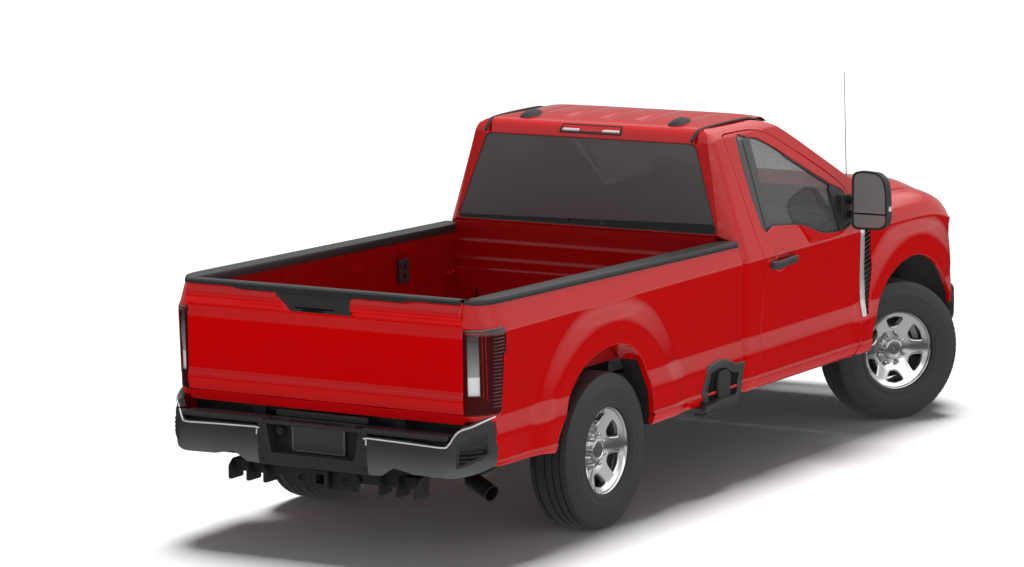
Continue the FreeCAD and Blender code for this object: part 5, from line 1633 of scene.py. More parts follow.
@dataclass(frozen=True)
class Front:
    """The wings with their vents, the hood, the front bumper and the head lamps."""

    stations: tuple[tuple[float, float, float, float], ...] = (
        (1.240, 0.0, 0.050, 0.0), (1.600, 0.0, 0.060, 0.0), (1.990, 0.0, 0.062, 0.0),
        (2.250, 0.014, 0.060, 0.0), (2.420, 0.050, 0.064, 0.0065), (2.560, 0.100, 0.068, 0.030),
        (2.700, 0.170, 0.084, 0.072), (2.790, 0.227, 0.100, 0.108), (2.848, 0.268, 0.060, 0.134))
    section: CreasedLine = CreasedLine((
        *LOWER_SECTION, (1.225, 1.000, 0.012), (1.296, 0.974, 0.020), (1.338, 0.940, 0.012),
        (1.361, 0.895, 0.008), (1.374, 0.848, 0.003), (1.380, 0.820, 0.0)))
    hood_z: float = 1.3755
    hood_half: float = 0.838
    hood_end: float = 2.846
    top_line: tuple[Triple, ...] = ((0.0, 1.0, 0.0), (0.293, 1.0, 0.0), (0.620, 0.93, 0.0),
                                    (0.7207, 0.62, 0.0), (0.800, 0.17, 0.0), (0.836, 0.0, 0.0),
                                    (0.880, 0.0, -0.011))
    arch: tuple[Pair, ...] = ((1.418, 0.500), (1.436, 0.610), (1.484, 0.720), (1.560, 0.820),
                              (1.660, 0.905), (1.790, 0.966), (1.900, 0.991), (1.985, 0.998),
                              (2.060, 0.993), (2.170, 0.966), (2.300, 0.903), (2.410, 0.812),
                              (2.480, 0.715), (2.503, 0.640))

    def read(self, x: float) -> tuple[float, float, float]:
        """Return the fall, crown and narrowing at a length."""
        return tuple(looked_up(NOSE_TABLE, x, column) for column in (1, 2, 3))

    def fallen(self, x: float, z: float) -> float:
        """Return a height after the front has fallen away, fully from the wing's top."""
        return z - self.read(x)[0] * clamp((z - 0.95) / 0.35)

    def place(self, x: float, z: float) -> Triple:
        """Return the wing's point; z is the height before the front falls away."""
        low, narrow = min(z, 1.2), self.read(x)[2]
        flare = SIDE.width(x, low) - SIDE.section.at(low)
        return (x, self.section.at(z) * (1 - narrow) + flare, self.fallen(x, z))

    def top(self, x: float, y: float) -> float:
        """Return the height of the hood's surface."""
        fall, crown, narrow = self.read(x)
        share, drop = (looked_up(HOOD_ACROSS, abs(y) / (1 - narrow), column) for column in (1, 2))
        return self.hood_z - fall + crown * share + drop

    def build(self) -> None:
        """Build every piece of the front."""
        arch = smooth_line(self.arch, 5)
        outline = [*arch, (2.518, 0.650), (2.530, 0.75), (2.545, 0.90), (2.552, 1.05),
                   (2.552, 1.25), (2.548, 1.374), (2.20, 1.374), (1.80, 1.374),
                   (1.578, 1.374), (1.578, 1.338), (1.318, 1.338), (1.3125, 1.30),
                   (1.3125, 0.760), (1.300, 0.600), (1.257, 0.505), (1.268, 0.497)]
        vent = rounded([(1.330, 1.238), (1.452, 1.226), (1.464, 0.992), (1.384, 0.722),
                        (1.330, 0.724)], 0.006, 3)
        shell = skin(outline, self.place, LEFTWARD, holes=[vent], columns=0.024,
                     rows=self.section.rows(0.48, 1.374, 0.02), depth=0.02, hole_roll=0.003,
                     hole_depth=0.010)
        SHOP.make("wing_skins", shell.both(), PAINT, "root", ("wing_left", "wing_right"))
        curve = [*arch, (2.518, 0.580), (2.530, 0.500)]
        liner = grid([[(x, y, z + 0.003) for y in (self.place(x, z)[1] - 0.012, 0.80, 0.490)]
                      for x, z in curve])
        back = grid([[(x, 0.490, z + 0.003), (x, 0.490, min(z, 0.70))] for x, z in curve])
        SHOP.make("front_arch_liners", liner.add(back).both(), BLACK_TRIM, sharp=50)
        self.vents()
        self.hood()
        self.bumper()
        seam = 2.546
        nose = grid([[(x, self.place(seam, z)[1] - 0.75 * (x - seam) - 0.002, self.fallen(x, z))
                      for z in np.linspace(0.76, 1.372, 24)] for x in np.linspace(seam, 2.80, 12)])
        lens = slab(rounded([(0.44, 0.86), (0.70, 0.86), (0.68, 1.08), (0.44, 1.08)], 0.025, 4),
                    "yz", 2.780, 2.830, 0.012, 3)
        SHOP.make("wing_noses", nose.both(), PAINT, fix_normals=True)
        SHOP.make("head_lamp_lenses", lens.both(), WHITE_LENS, "root", ("headlamps",),
                  fix_normals=True)

    @staticmethod
    def bumper() -> None:
        """Build the front bumper: a bowed bright bar over a black lower lip."""
        def bar(low: float, high: float, depth: float, ahead: float) -> Shell:
            """Return a bar bowed back towards the wings."""
            section = eased(((-depth, low), (-0.02, low), (0.0, low + 0.03),
                             (0.004, (low + high) / 2), (0.0, high - 0.03), (-0.03, high),
                             (-depth, high)), 0.012, 2)
            return grid([[(ahead - 0.33 * abs(v) ** 3.2 + dx, 0.985 * v, z) for dx, z in section]
                         for v in np.linspace(-1, 1, 61)])

        SHOP.make("front_bumper_bar", bar(0.520, 0.740, 0.09, 2.925), CHROME, "root",
                  ("front_bumper",), fix_normals=True)
        SHOP.make("front_bumper_lip", bar(0.430, 0.525, 0.08, 2.905), BLACK_TRIM,
                  fix_normals=True)

    def vents(self) -> None:
        """Build the bright strip and black mesh of the side vents."""
        def sunk(x: float, z: float, amount: float = 0.012) -> Triple:
            """Return the wing's point moved inward."""
            _, y, height = self.place(x, z)
            return (x, y - amount, height)

        strip = [(1.318, 1.245), (1.362, 1.240), (1.372, 1.00), (1.350, 0.722), (1.318, 0.719)]
        bright = skin(rounded(strip, 0.006, 3), lambda u, z: (
            u, self.place(u, z)[1] + 0.007 * (1 - ((u - 1.345) / 0.03) ** 2) - 0.001, z),
            LEFTWARD, columns=0.006, rows=0.03, roll=0.003, depth=0.008)
        hole = [(1.364, 1.236), (1.450, 1.224), (1.462, 0.992), (1.382, 0.724), (1.352, 0.726)]
        floor = skin(rounded(hole, 0.004, 2), sunk, LEFTWARD, columns=0.02, rows=0.05, roll=0.0)
        mesh = Shell()
        for k in range(17):
            z = 0.750 + k * 0.028
            end = looked_up(((0.724, 1.380), (0.992, 1.460), (1.224, 1.450)), z)
            path = [sunk(u, z + (u - 1.37) * 0.25, 0.006) for u in np.linspace(1.362, end, 5)]
            mesh.add(tube(path, 0.0045, 6))
        SHOP.make("vent_bright_strips", bright.both(), CHROME, "root", ("wing_vents",))
        SHOP.make("vent_floors", floor.both(), GLOSS_BLACK)
        SHOP.make("vent_mesh_bars", mesh.both(), BLACK_TRIM)

    def hood(self) -> None:
        """Build the hood, turned down at its nose."""
        end, columns = self.hood_end, [self.hood_half * v for v in np.linspace(-1.0, 1.0, 97)]
        sheet = [[(x, y, self.top(x, y)) for y in columns]
                 for x in [*np.linspace(1.574, 2.40, 30), *np.linspace(2.42, end, 34)]]
        for down, ahead in ((0.006, 0.003), (0.020, 0.005), (0.080, 0.005), (0.150, 0.004)):
            sheet.append([(end + ahead - 0.016 * (abs(y) / 0.84) ** 4, y,
                           max(1.075, self.top(end, y) - down)) for y in columns])
        SHOP.make("hood_skin", grid(sheet), PAINT, "hood", ("hood",), fix_normals=True,
                  sharp=45)


CAB = Cab()
BED = LoadBed()
BED_CORNER = smooth_line(BED.corner, 8)
TURNED_CORNER = table(CAB.corner)
ROOF_ALONG = table(CAB.roof_line)
ROOF_ACROSS = table(CAB.roof_across)
NOSE_TABLE = table(Front.stations)
HOOD_ACROSS = table(Front.top_line)


@dataclass(frozen=True)
class RearBumper:
    """The step bumper: painted ends, black centre with its plate, pads and chrome lines."""

    rear: float = -2.937
    flat: float = 0.835
    wide: float = 0.987
    end: float = -2.702
    low: float = 0.497
    top: float = 0.692

    def plan(self) -> list[Pair]:
        """Return the outer face's plan from the recess round the left corner, (x, y)."""
        path = [(self.rear, 0.0), (self.rear, 0.60), (self.rear + 0.002, self.flat - 0.06),
                (self.rear + 0.016, self.flat + 0.012), (-2.868, 0.918), (-2.780, 0.962),
                (self.end, self.wide)]
        return eased(path, 0.05, 6)

    def place(self, s: float, z: float) -> Triple:
        """Return the outer face's point; s is the distance round from the middle."""
        lean = 0.010 * max(0.0, (0.60 - z) / 0.10) ** 2 + 0.006 * max(0.0, (z - 0.63) / 0.07)
        sign, left, line = (1.0 if s >= 0 else -1.0), abs(s), BUMPER_PLAN
        for (ax, ay), (bx, by) in zip(line, line[1:]):
            length = math.hypot(bx - ax, by - ay)
            if left <= length or (bx, by) == line[-1]:
                share = left / length
                x, y = ax + (bx - ax) * share, ay + (by - ay) * share
                nx, ny = -(by - ay) / length, (bx - ax) / length
                return (x - nx * lean, (y - ny * lean) * sign, z)
            left -= length
        return (line[-1][0], line[-1][1] * sign, z)

    def pushed(self, ahead: float, out: float) -> Place:
        """Return the outer face, moved a little rearward and outward."""
        def moved(s: float, z: float) -> Triple:
            """Return the moved point."""
            x, y, height = self.place(s, z)
            return (x - ahead, y + out, height)
        return moved

    @staticmethod
    def reach(y: float) -> float:
        """Return the distance round the face at which a half width is met."""
        total = 0.0
        for (ax, ay), (bx, by) in zip(BUMPER_PLAN, BUMPER_PLAN[1:]):
            length = math.hypot(bx - ax, by - ay)
            if by >= y:
                return total + length * (y - ay) / max(1e-6, by - ay)
            total += length
        return total

    def top_line(self) -> list[Pair]:
        """Return the painted end's upper edge: flat, an S-curve, then the corner."""
        knots = [(0.345, 0.672), (0.60, 0.668), (0.795, 0.660), (0.832, 0.676), (0.862, 0.722),
                 (0.890, 0.748), (0.930, 0.762), (0.960, 0.780), (self.wide, 0.798)]
        return [(self.reach(y), z) for y, z in knots]

    def build(self) -> None:
        """Build every piece of the bumper and its trailer socket."""
        upper = smooth_line(self.top_line(), 4)
        end = upper[-1][0]
        lower = [(self.reach(y), z) for y, z in (
            (0.93, 0.515), (0.84, 0.500), (0.62, 0.506), (0.50, 0.530), (0.46, 0.508),
            (0.42, 0.480), (0.345, 0.476))]
        ends = skin([*upper, (end, 0.600), (end - 0.01, 0.545), *lower], self.place, REAR_CORNER,
                    columns=0.02, rows=0.014, roll=0.006, depth=0.03)
        SHOP.make("bumper_painted_ends", ends.both(), BUMPER_GREY, "root", ("rear_bumper",),
                  sharp=30)
        line = [self.place(s, z - 0.004) for s, z in upper]
        hook = [self.place(self.reach(0.341), z) for z in (0.630, 0.645, 0.658)]
        path = smooth_line([*hook, self.place(self.reach(0.350), 0.667), *line[6:]], 2)
        chrome = tube([(x - 0.002, y, z) for x, y, z in path], 0.0050, 8)
        SHOP.make("bumper_chrome_lines", chrome.both(), CHROME)
        self.centre()
        self.pads()
        self.plate()
        self.backing()
        self.corner_steps()

    def centre(self) -> None:
        """Build the black centre frame with its open recess."""
        outline = rounded(rectangle((-0.336, 0.470), (0.336, 0.700)), 0.010, 3)
        hole = rounded([(0.262, 0.532), (0.297, 0.694), (-0.297, 0.694), (-0.262, 0.532)], 0.012)

        def face(y: float, z: float) -> Triple:
            """Return the centre frame's point, leaning in at its lower edge."""
            return (self.rear + 0.004 + 0.02 * max(0.0, (0.53 - z) / 0.06) ** 2, y, z)

        frame_shell = skin(outline, face, REARWARD, holes=[hole], roll=0.005, depth=0.04,
                           hole_roll=0.006, hole_depth=0.085)
        floor = skin(rounded([(0.285, 0.515), (0.305, 0.705), (-0.305, 0.705),
                              (-0.285, 0.515)], 0.01),
                     upright(self.rear + 0.082), REARWARD, columns=0.08, rows=0.05, roll=0.0)
        bolts = Shell()
        for y in (-0.315, 0.315):
            for z in (0.500, 0.680):
                bolts.add(lathe([(0.0005, 0.0), (0.006, 0.0), (0.009, 0.003), (0.009, 0.006)],
                                16).moved(posed((self.rear - 0.001, y, z), -90, "Z")))
        socket = lathe([(0.0005, 0.020), (0.022, 0.020), (0.024, 0.004), (0.028, 0.0),
                        (0.034, 0.002), (0.035, 0.012)], 32).moved(
            posed((self.rear + 0.078, 0.238, 0.645), 90, "Z"))
        lights = Shell()
        for y in (-0.205, 0.205):
            lights.add(brick((self.rear + 0.050, y - 0.03, 0.7005),
                             (self.rear + 0.078, y + 0.03, 0.712)))
        SHOP.make("bumper_centre_frame", frame_shell, BLACK_TRIM, sharp=30)
        SHOP.make("bumper_recess_floor", floor, CHASSIS)
        SHOP.make("bumper_bolts", bolts, CHASSIS, fix_normals=True)
        SHOP.make("trailer_socket", socket, BLACK_TRIM, fix_normals=True)
        SHOP.make("plate_lights", lights, BLACK_TRIM, fix_normals=True)

    def plate(self) -> None:
        """Build the bare plate with its lighter border."""
        corners = rectangle((-0.165, 0.545), (0.165, 0.692))
        x = self.rear + 0.066
        outline = rounded(corners, 0.012)
        base = slab(outline, "yz", x, x + 0.004, 0.001)
        inner = scaled_about(corners, (0.0, 0.6185), 0.955, 0.90)
        rim = skin(outline, upright(x - 0.001), REARWARD, holes=[rounded(inner, 0.010)],
                   columns=0.05, rows=0.05, roll=0.0015, depth=0.002)
        SHOP.make("bare_plate", base, SATIN_BLACK, fix_normals=True)
        SHOP.make("bare_plate_border", rim, PLATE_GREY)

    def pads(self) -> None:
        """Build the ribbed step pads on the bumper's top and over its middle."""
        pads, ribs = Shell(), Shell()
        for sign in (1, -1):
            corners = [(-2.936, sign * 0.308), (-2.936, sign * 0.790), (-2.920, sign * 0.826),
                       (-2.840, sign * 0.812), (-2.8405, sign * 0.306)]
            pads.add(slab(corners, "xy", 0.689, 0.714, 0.008, 3))
            for k in range(26):
                y = 0.335 + k * 0.0182
                start, finish = (-2.927, sign * y, 0.7155), (-2.852, sign * (y - 0.016), 0.7155)
                ribs.add(tube([start, finish], 0.0042, 6))
        middle = slab([(-2.866, -0.300), (-2.866, 0.300), (-2.842, 0.300), (-2.842, -0.300)],
                      "xy", 0.700, 0.716, 0.004)
        strip = slab([(-2.838, -0.285), (-2.838, 0.285), (-2.818, 0.285), (-2.818, -0.285)],
                     "xy", 0.716, 0.7475, 0.005)
        SHOP.make("bumper_step_pads", pads.add(middle), BLACK_TRIM, "root", ("bumper_pads",),
                  fix_normals=True)
        SHOP.make("bumper_pad_ribs", ribs, SATIN_BLACK, fix_normals=True)
        SHOP.make("gate_lower_strip", strip, BLACK_TRIM, fix_normals=True)

    def backing(self) -> None:
        """Build the bumper's inner beam, its shelf and its brackets."""
        beam = brick((-2.884, -0.80, 0.500), (-2.800, -0.300, 0.687), 0.01)
        beam.add(brick((-2.884, 0.300, 0.500), (-2.800, 0.80, 0.687), 0.01))
        beam.add(brick((-2.858, -0.84, 0.660), (-2.792, 0.84, 0.6875), 0.004))
        for y in (-0.475, 0.400):
            beam.add(brick((-2.890, y, 0.648), (-2.746, y + 0.075, 0.687), 0.006))
        SHOP.make("bumper_beam", beam, CHASSIS, fix_normals=True)

    def corner_steps(self) -> None:
        """Build the black corner pockets with their treads."""
        corners = [(0.872, 0.662), (0.930, 0.700), (0.972, 0.722), (0.972, 0.610), (0.930, 0.575),
                   (0.866, 0.548)]
        outline = rounded([(self.reach(y), z) for y, z in corners], 0.012, 4)
        middle = self.reach(0.92)
        hole = [(s + (0.012 if s < middle else -0.012), 0.635 + (z - 0.635) * 0.86)
                for s, z in outline]
        rim = skin(outline, self.pushed(0.004, 0.002), REAR_CORNER, holes=[hole], rows=0.03,
                   roll=0.003, depth=0.006)
        floor = skin(outline, self.pushed(0.0012, 0.0008), REAR_CORNER, columns=0.02, roll=0.0)
        tread = Shell()
        for k in range(4):
            path = [self.pushed(0.003, 0.002)(s, 0.585 + 0.022 * k)
                    for s in np.linspace(self.reach(0.885), self.reach(0.955), 5)]
            tread.add(tube(path, 0.0035, 6))
        SHOP.make("corner_step_rims", rim.both(), BLACK_TRIM)
        SHOP.make("corner_step_floors", floor.both(), GLOSS_BLACK)
        SHOP.make("corner_step_treads", tread.both(), BLACK_TRIM)


BUMPER_PLAN = RearBumper().plan()


@dataclass(frozen=True)
class Towing:
    """The receiver's surround: cross tube, lugs, chain plate and the exhaust's tip."""

    receiver_z: float = 0.408
    drawn_z: float = 0.390
    lip: float = 0.0035
    pipe_end: tuple[Triple, ...] = ((-2.432, -0.655, 0.392), (-2.456, -0.728, 0.366),
                                    (-2.474, -0.803, 0.337))
    pipe: tuple[Triple, ...] = ((-0.345, -0.270, 0.440), (-0.90, -0.290, 0.445),
                                (-1.25, -0.340, 0.540), (-1.583, -0.365, 0.585),
                                (-1.80, -0.400, 0.520), (-1.98, -0.540, 0.425),
                                (-2.20, -0.600, 0.405), (-2.36, -0.610, 0.402),
                                (-2.435, -0.662, 0.390))

    def build(self) -> None:
        """Build the towing pieces and the tail pipe."""
        plate = rounded([(-0.205, 0.334), (0.225, 0.334), (0.238, 0.380), (0.225, 0.426),
                         (-0.205, 0.426), (-0.220, 0.380)], 0.012)
        ovals = [[(y + 0.030 * math.cos(a), 0.382 + 0.019 * math.sin(a)) for a in turns(24)]
                 for y in (-0.130, 0.140)]
        middle = rounded(rectangle((-0.034, 0.356), (0.034, 0.424)), 0.006, 3)
        face = skin(plate, upright(-2.822), REARWARD, holes=[*ovals, middle], columns=0.04,
                    rows=0.03, roll=0.003, depth=0.010)
        collar = skin(rectangle((-0.043, 0.347), (0.043, 0.433)), upright(-2.866), REARWARD,
                      holes=[rectangle((-0.0258, 0.3642), (0.0258, 0.4158))], columns=0.05,
                      rows=0.05, hole_roll=0.001, hole_depth=0.016)
        tubes = Shell()
        for a, b in ((-0.590, -0.046), (0.046, 0.590)):
            section = rectangle((-2.805, 0.3905), (-2.735, 0.4575))
            tubes.add(slab(rounded(section, 0.014, 4), "xz", a, b))
        lugs = Shell()
        for y in (-0.588, -0.474, -0.366, 0.354, 0.462, 0.576):
            lugs.add(slab(rounded([(-2.854, 0.352), (-2.735, 0.352), (-2.735, 0.460),
                                   (-2.815, 0.460), (-2.854, 0.425)], 0.012, 3),
                          "xz", y - 0.0015, y + 0.0135, 0.002))
        lift = Matrix.Translation((0.0, 0.0, self.receiver_z - self.drawn_z))
        SHOP.make("chain_plate", face.moved(lift), CHASSIS)
        SHOP.make("receiver_collar", collar.moved(lift), CHASSIS, sharp=25)
        SHOP.make("hitch_cross_tubes", tubes, CHASSIS, fix_normals=True)
        SHOP.make("hitch_lugs", lugs, CHASSIS, fix_normals=True)
        line = smooth_line(self.pipe_end, 4)
        tip = tube(line, 0.046, 40, capped=False)
        tip.add(tube(line[::-1], 0.043, 40, capped=False))
        SHOP.make("tail_pipe", tube(smooth_line(self.pipe), 0.036, 24), DULL_STEEL,
                  fix_normals=True)
        SHOP.make("tail_pipe_tip", tip, DULL_STEEL)
        before, last = (Vector(point) for point in self.pipe_end[-2:])
        along = (last - before).normalized()
        rows = []
        for k in range(8):
            angle = 2 * math.pi * k / 8
            out = self.lip * math.sin(angle)
            loop = tube([tuple(last + along * out), tuple(last + along * (out + 0.001))],
                        0.0455 + self.lip * math.cos(angle), 40, capped=False)
            rows.append(loop.points[:40])
        ring = grid([*rows, rows[0]], closed=True)
        SHOP.make("tail_pipe_rim", ring, DULL_STEEL, fix_normals=True)


@dataclass(frozen=True)
class Mirrors:
    """The towing mirrors and the door handles."""

    face_x: float = 1.158
    middle: Pair = (1.135, 1.430)

    @staticmethod
    def head_outline() -> list[Pair]:
        """Return the mirror head's outline seen from behind, (y, z)."""
        corners = [(1.020, 1.272), (1.050, 1.258), (1.215, 1.262), (1.248, 1.292),
                   (1.246, 1.480), (1.232, 1.560), (1.190, 1.598), (1.080, 1.604),
                   (1.034, 1.592), (1.022, 1.560)]
        return rounded(corners, 0.030, 5)

    def build(self) -> None:
        """Build both mirrors and handles."""
        outline = spaced(self.head_outline(), 0.02, True)
        middle, x = self.middle, self.face_x
        head = grid([[(x + ahead, y, z) for y, z in scaled_about(outline, middle, scale, scale)]
                     for ahead, scale in ((0.004, 0.985), (0.001, 0.995), (0.006, 1.0),
                                          (0.035, 1.0), (0.065, 0.97), (0.090, 0.90),
                                          (0.106, 0.76), (0.113, 0.50), (0.114, 0.1))],
                    closed=True)
        inner = scaled_about(outline, middle, 0.93, 0.95)
        bezel = skin(outline, upright(x + 0.003), REARWARD, holes=[inner], columns=0.05,
                     rows=0.05, roll=0.0, hole_roll=0.003, hole_depth=0.012)
        split, gap = 1.352, 0.006
        upper = self._part(inner, split + gap, 2.0)
        lower = self._part(inner, 0.0, split - gap)
        glass = skin(rounded(upper, 0.008, 2), upright(x + 0.010), REARWARD, columns=0.04,
                     rows=0.04, roll=0.0015, depth=0.004)
        spot = skin(rounded(lower, 0.008, 2), lambda y, z: (
            x + 0.009 + 0.03 * ((y - middle[0]) ** 2 + (z - 1.31) ** 2), y, z),
            REARWARD, columns=0.02, roll=0.0015, depth=0.004)
        back = skin(scaled_about(outline, middle, 0.95, 0.96), upright(x + 0.0125), REARWARD,
                    columns=0.06, rows=0.06, roll=0.0)
        marker = skin(rounded([(x + 0.034, 1.372), (x + 0.086, 1.368), (x + 0.086, 1.392),
                               (x + 0.034, 1.398)], 0.006, 3),
                      lambda u, z: (u, 1.2475 - 0.8 * max(0.0, u - x - 0.04) ** 1.5, z),
                      LEFTWARD, columns=0.01, rows=0.01, roll=0.002, depth=0.008)
        arms = Shell()
        for z, thick in ((1.335, 0.019), (1.419, 0.020)):
            path = smooth_line([(x + 0.085, 0.935, z + 0.004), (x + 0.072, 0.985, z + 0.002),
                                (x + 0.055, 1.060, z)], 4)
            arms.add(tube(path, thick, 12))
            arms.add(tube([(x + 0.078, 0.962, z), (x + 0.070, 0.990, z)], thick + 0.006, 12))
        foot = slab(rounded([(1.130, 1.292), (1.255, 1.302), (1.258, 1.452), (1.150, 1.462)],
                            0.018, 4), "xz", 0.930, 0.972, 0.010, 3)
        grip, scoop = self._grip(), self._scoop()
        for side in Side:
            SHOP.sided(side, "mirror_shell", head, BLACK_TRIM, "door", "mirror", True)
            SHOP.sided(side, "mirror_bezel", bezel, BLACK_TRIM, "door")
            SHOP.sided(side, "mirror_back", back, GLOSS_BLACK, "door")
            SHOP.sided(side, "mirror_glass", glass, MIRROR_GLASS, "door")
            SHOP.sided(side, "mirror_spot_glass", spot, MIRROR_GLASS, "door")
            SHOP.sided(side, "mirror_marker", marker, WHITE_LENS, "door")
            SHOP.sided(side, "mirror_arms", arms, BLACK_TRIM, "door", fix_normals=True)
            SHOP.sided(side, "mirror_foot", foot, BLACK_TRIM, "door", fix_normals=True)
            SHOP.sided(side, "door_grip", grip, SATIN_BLACK, "door", fix_normals=True)
            SHOP.sided(side, "door_grip_scoop", scoop, PAINT, "door")

    @staticmethod
    def _part(outline: Sequence[Pair], low: float, high: float) -> list[Pair]:
        """Return the part of a convex outline between two heights."""
        kept = []
        for (ay, az), (by, bz) in zip(outline, list(outline[1:]) + [outline[0]]):
            if low <= az <= high:
                kept.append((ay, az))
            for cut in (low, high):
                if (az - cut) * (bz - cut) < 0:
                    share = (cut - az) / (bz - az)
                    kept.append((ay + (by - ay) * share, cut))
        return kept

    @staticmethod
    def _grip() -> Shell:
        """Return the door handle: a bar standing off on two feet."""
        rows = []
        for x, half, proud, z in ((0.205, 0.018, 0.014, 1.170), (0.215, 0.022, 0.030, 1.171),
                                  (0.240, 0.023, 0.037, 1.172), (0.330, 0.022, 0.040, 1.176),
                                  (0.430, 0.020, 0.037, 1.180), (0.480, 0.018, 0.034, 1.181),
                                  (0.500, 0.013, 0.022, 1.181)):
            skin_y = SIDE.width(x, z)
            rows.append([(x, skin_y + proud * (1 - 0.06 * (1 - math.cos(a)))
                          - (0.016 if math.cos(a) < 0 else 0.0), z + half * math.sin(a))
                         for a in turns(16)])
        bar = grid(rows, closed=True).add(fan(rows[0])).add(fan(rows[-1]))
        for a, b in ((0.207, 0.250), (0.462, 0.497)):
            bar.add(brick((a, SIDE.width(a, 1.17) - 0.002, 1.157),
                          (b, SIDE.width(a, 1.17) + 0.024, 1.195), 0.006))
        return bar

    @staticmethod
    def _scoop() -> Shell:
        """Return the rounded raised ring round the hand space behind the handle."""
        rows = []
        for k in range(9):
            angle = math.pi * k / 8
            reach, proud = 0.062 + 0.007 * math.cos(angle), 0.0035 * math.sin(angle)
            row = []
            for a in turns(40):
                x, z = 0.330 + 1.05 * reach * math.cos(a), 1.176 + 0.78 * reach * math.sin(a)
                row.append((x, SIDE.width(x, z) + proud, z))
            rows.append(row)
        return grid(rows, closed=True)


@dataclass(frozen=True)
class RoofFittings:
    """The roof pods, the high stop lamp and the right wing's aerial."""

    pod_y: float = 0.490
    pod: tuple[Triple, ...] = ((-0.010, 0.020, 0.000), (0.000, 0.034, 0.012),
                               (0.020, 0.043, 0.022), (0.060, 0.047, 0.028),
                               (0.110, 0.044, 0.027), (0.150, 0.032, 0.018),
                               (0.170, 0.014, 0.004))
    aerial_y: float = -0.795
    lamp_facing: Triple = (-1.0, 0.0, 0.3)

    def build(self) -> None:
        """Build every fitting."""
        self.pods()
        self.stop_lamp()
        self.aerial()

    def pods(self) -> None:
        """Build the two roof pods."""
        pods = Shell()
        for sign in (1, -1):
            pods.add(grid([[(x, sign * (self.pod_y + half * v),
                             CAB.roof_z(x, self.pod_y + half * v) + 0.001
                             + rise * (1 - abs(v) ** 3)) for v in np.linspace(-1.0, 1.0, 15)]
                           for x, half, rise in self.pod]))
        SHOP.make("roof_pod_skins", pods, BLACK_TRIM, "root", ("roof_pods",), fix_normals=True)

    def stop_lamp(self) -> None:
        """Build the high stop lamp with the load lamps beside it."""
        bezel = rounded([(0.205, 1.905), (0.198, 1.950), (-0.198, 1.950), (-0.205, 1.905)], 0.012)
        hole = rounded([(0.192, 1.912), (0.187, 1.944), (-0.187, 1.944), (-0.192, 1.912)], 0.006)
        shell = skin(bezel, CAB.behind(0.004), self.lamp_facing, holes=[hole], rows=0.01,
                     roll=0.003, depth=0.008, hole_roll=0.002, hole_depth=0.006)
        SHOP.make("stop_lamp_bezel", shell, GLOSS_BLACK, "root", ("roof_lamp",))
        for name, finish, low, high in (("stop_lamp_red", BRIGHT_RED, -0.072, 0.072),
                                        ("cargo_lamp_left", WHITE_LENS, 0.076, 0.190),
                                        ("cargo_lamp_right", WHITE_LENS, -0.190, -0.076)):
            cell = [(high, 1.913), (high, 1.943), (low, 1.943), (low, 1.913)]
            SHOP.make(name, skin(cell, CAB.behind(0.001), self.lamp_facing, columns=0.02,
                                 rows=0.008, roll=0.001, depth=0.004), finish)

    def aerial(self) -> None:
        """Build the aerial's foot and whip."""
        y = self.aerial_y
        foot = lathe([(0.0005, 0.028), (0.006, 0.027), (0.009, 0.020), (0.014, 0.006),
                      (0.018, 0.0)], 24).moved(posed((1.535, y, 1.392), 90, "X"))
        whip = tube([(1.535, y, 1.415), (1.524, y, 1.70), (1.508, y, 2.138)],
                    [0.0032, 0.0026, 0.0020], 8)
        coil = tube([(1.535, y, 1.412), (1.534, y, 1.450)], 0.006, 12)
        SHOP.make("aerial_foot", foot.add(coil), BLACK_TRIM, "root", ("aerial",),
                  fix_normals=True)
        SHOP.make("aerial_whip", whip, BLACK_TRIM)


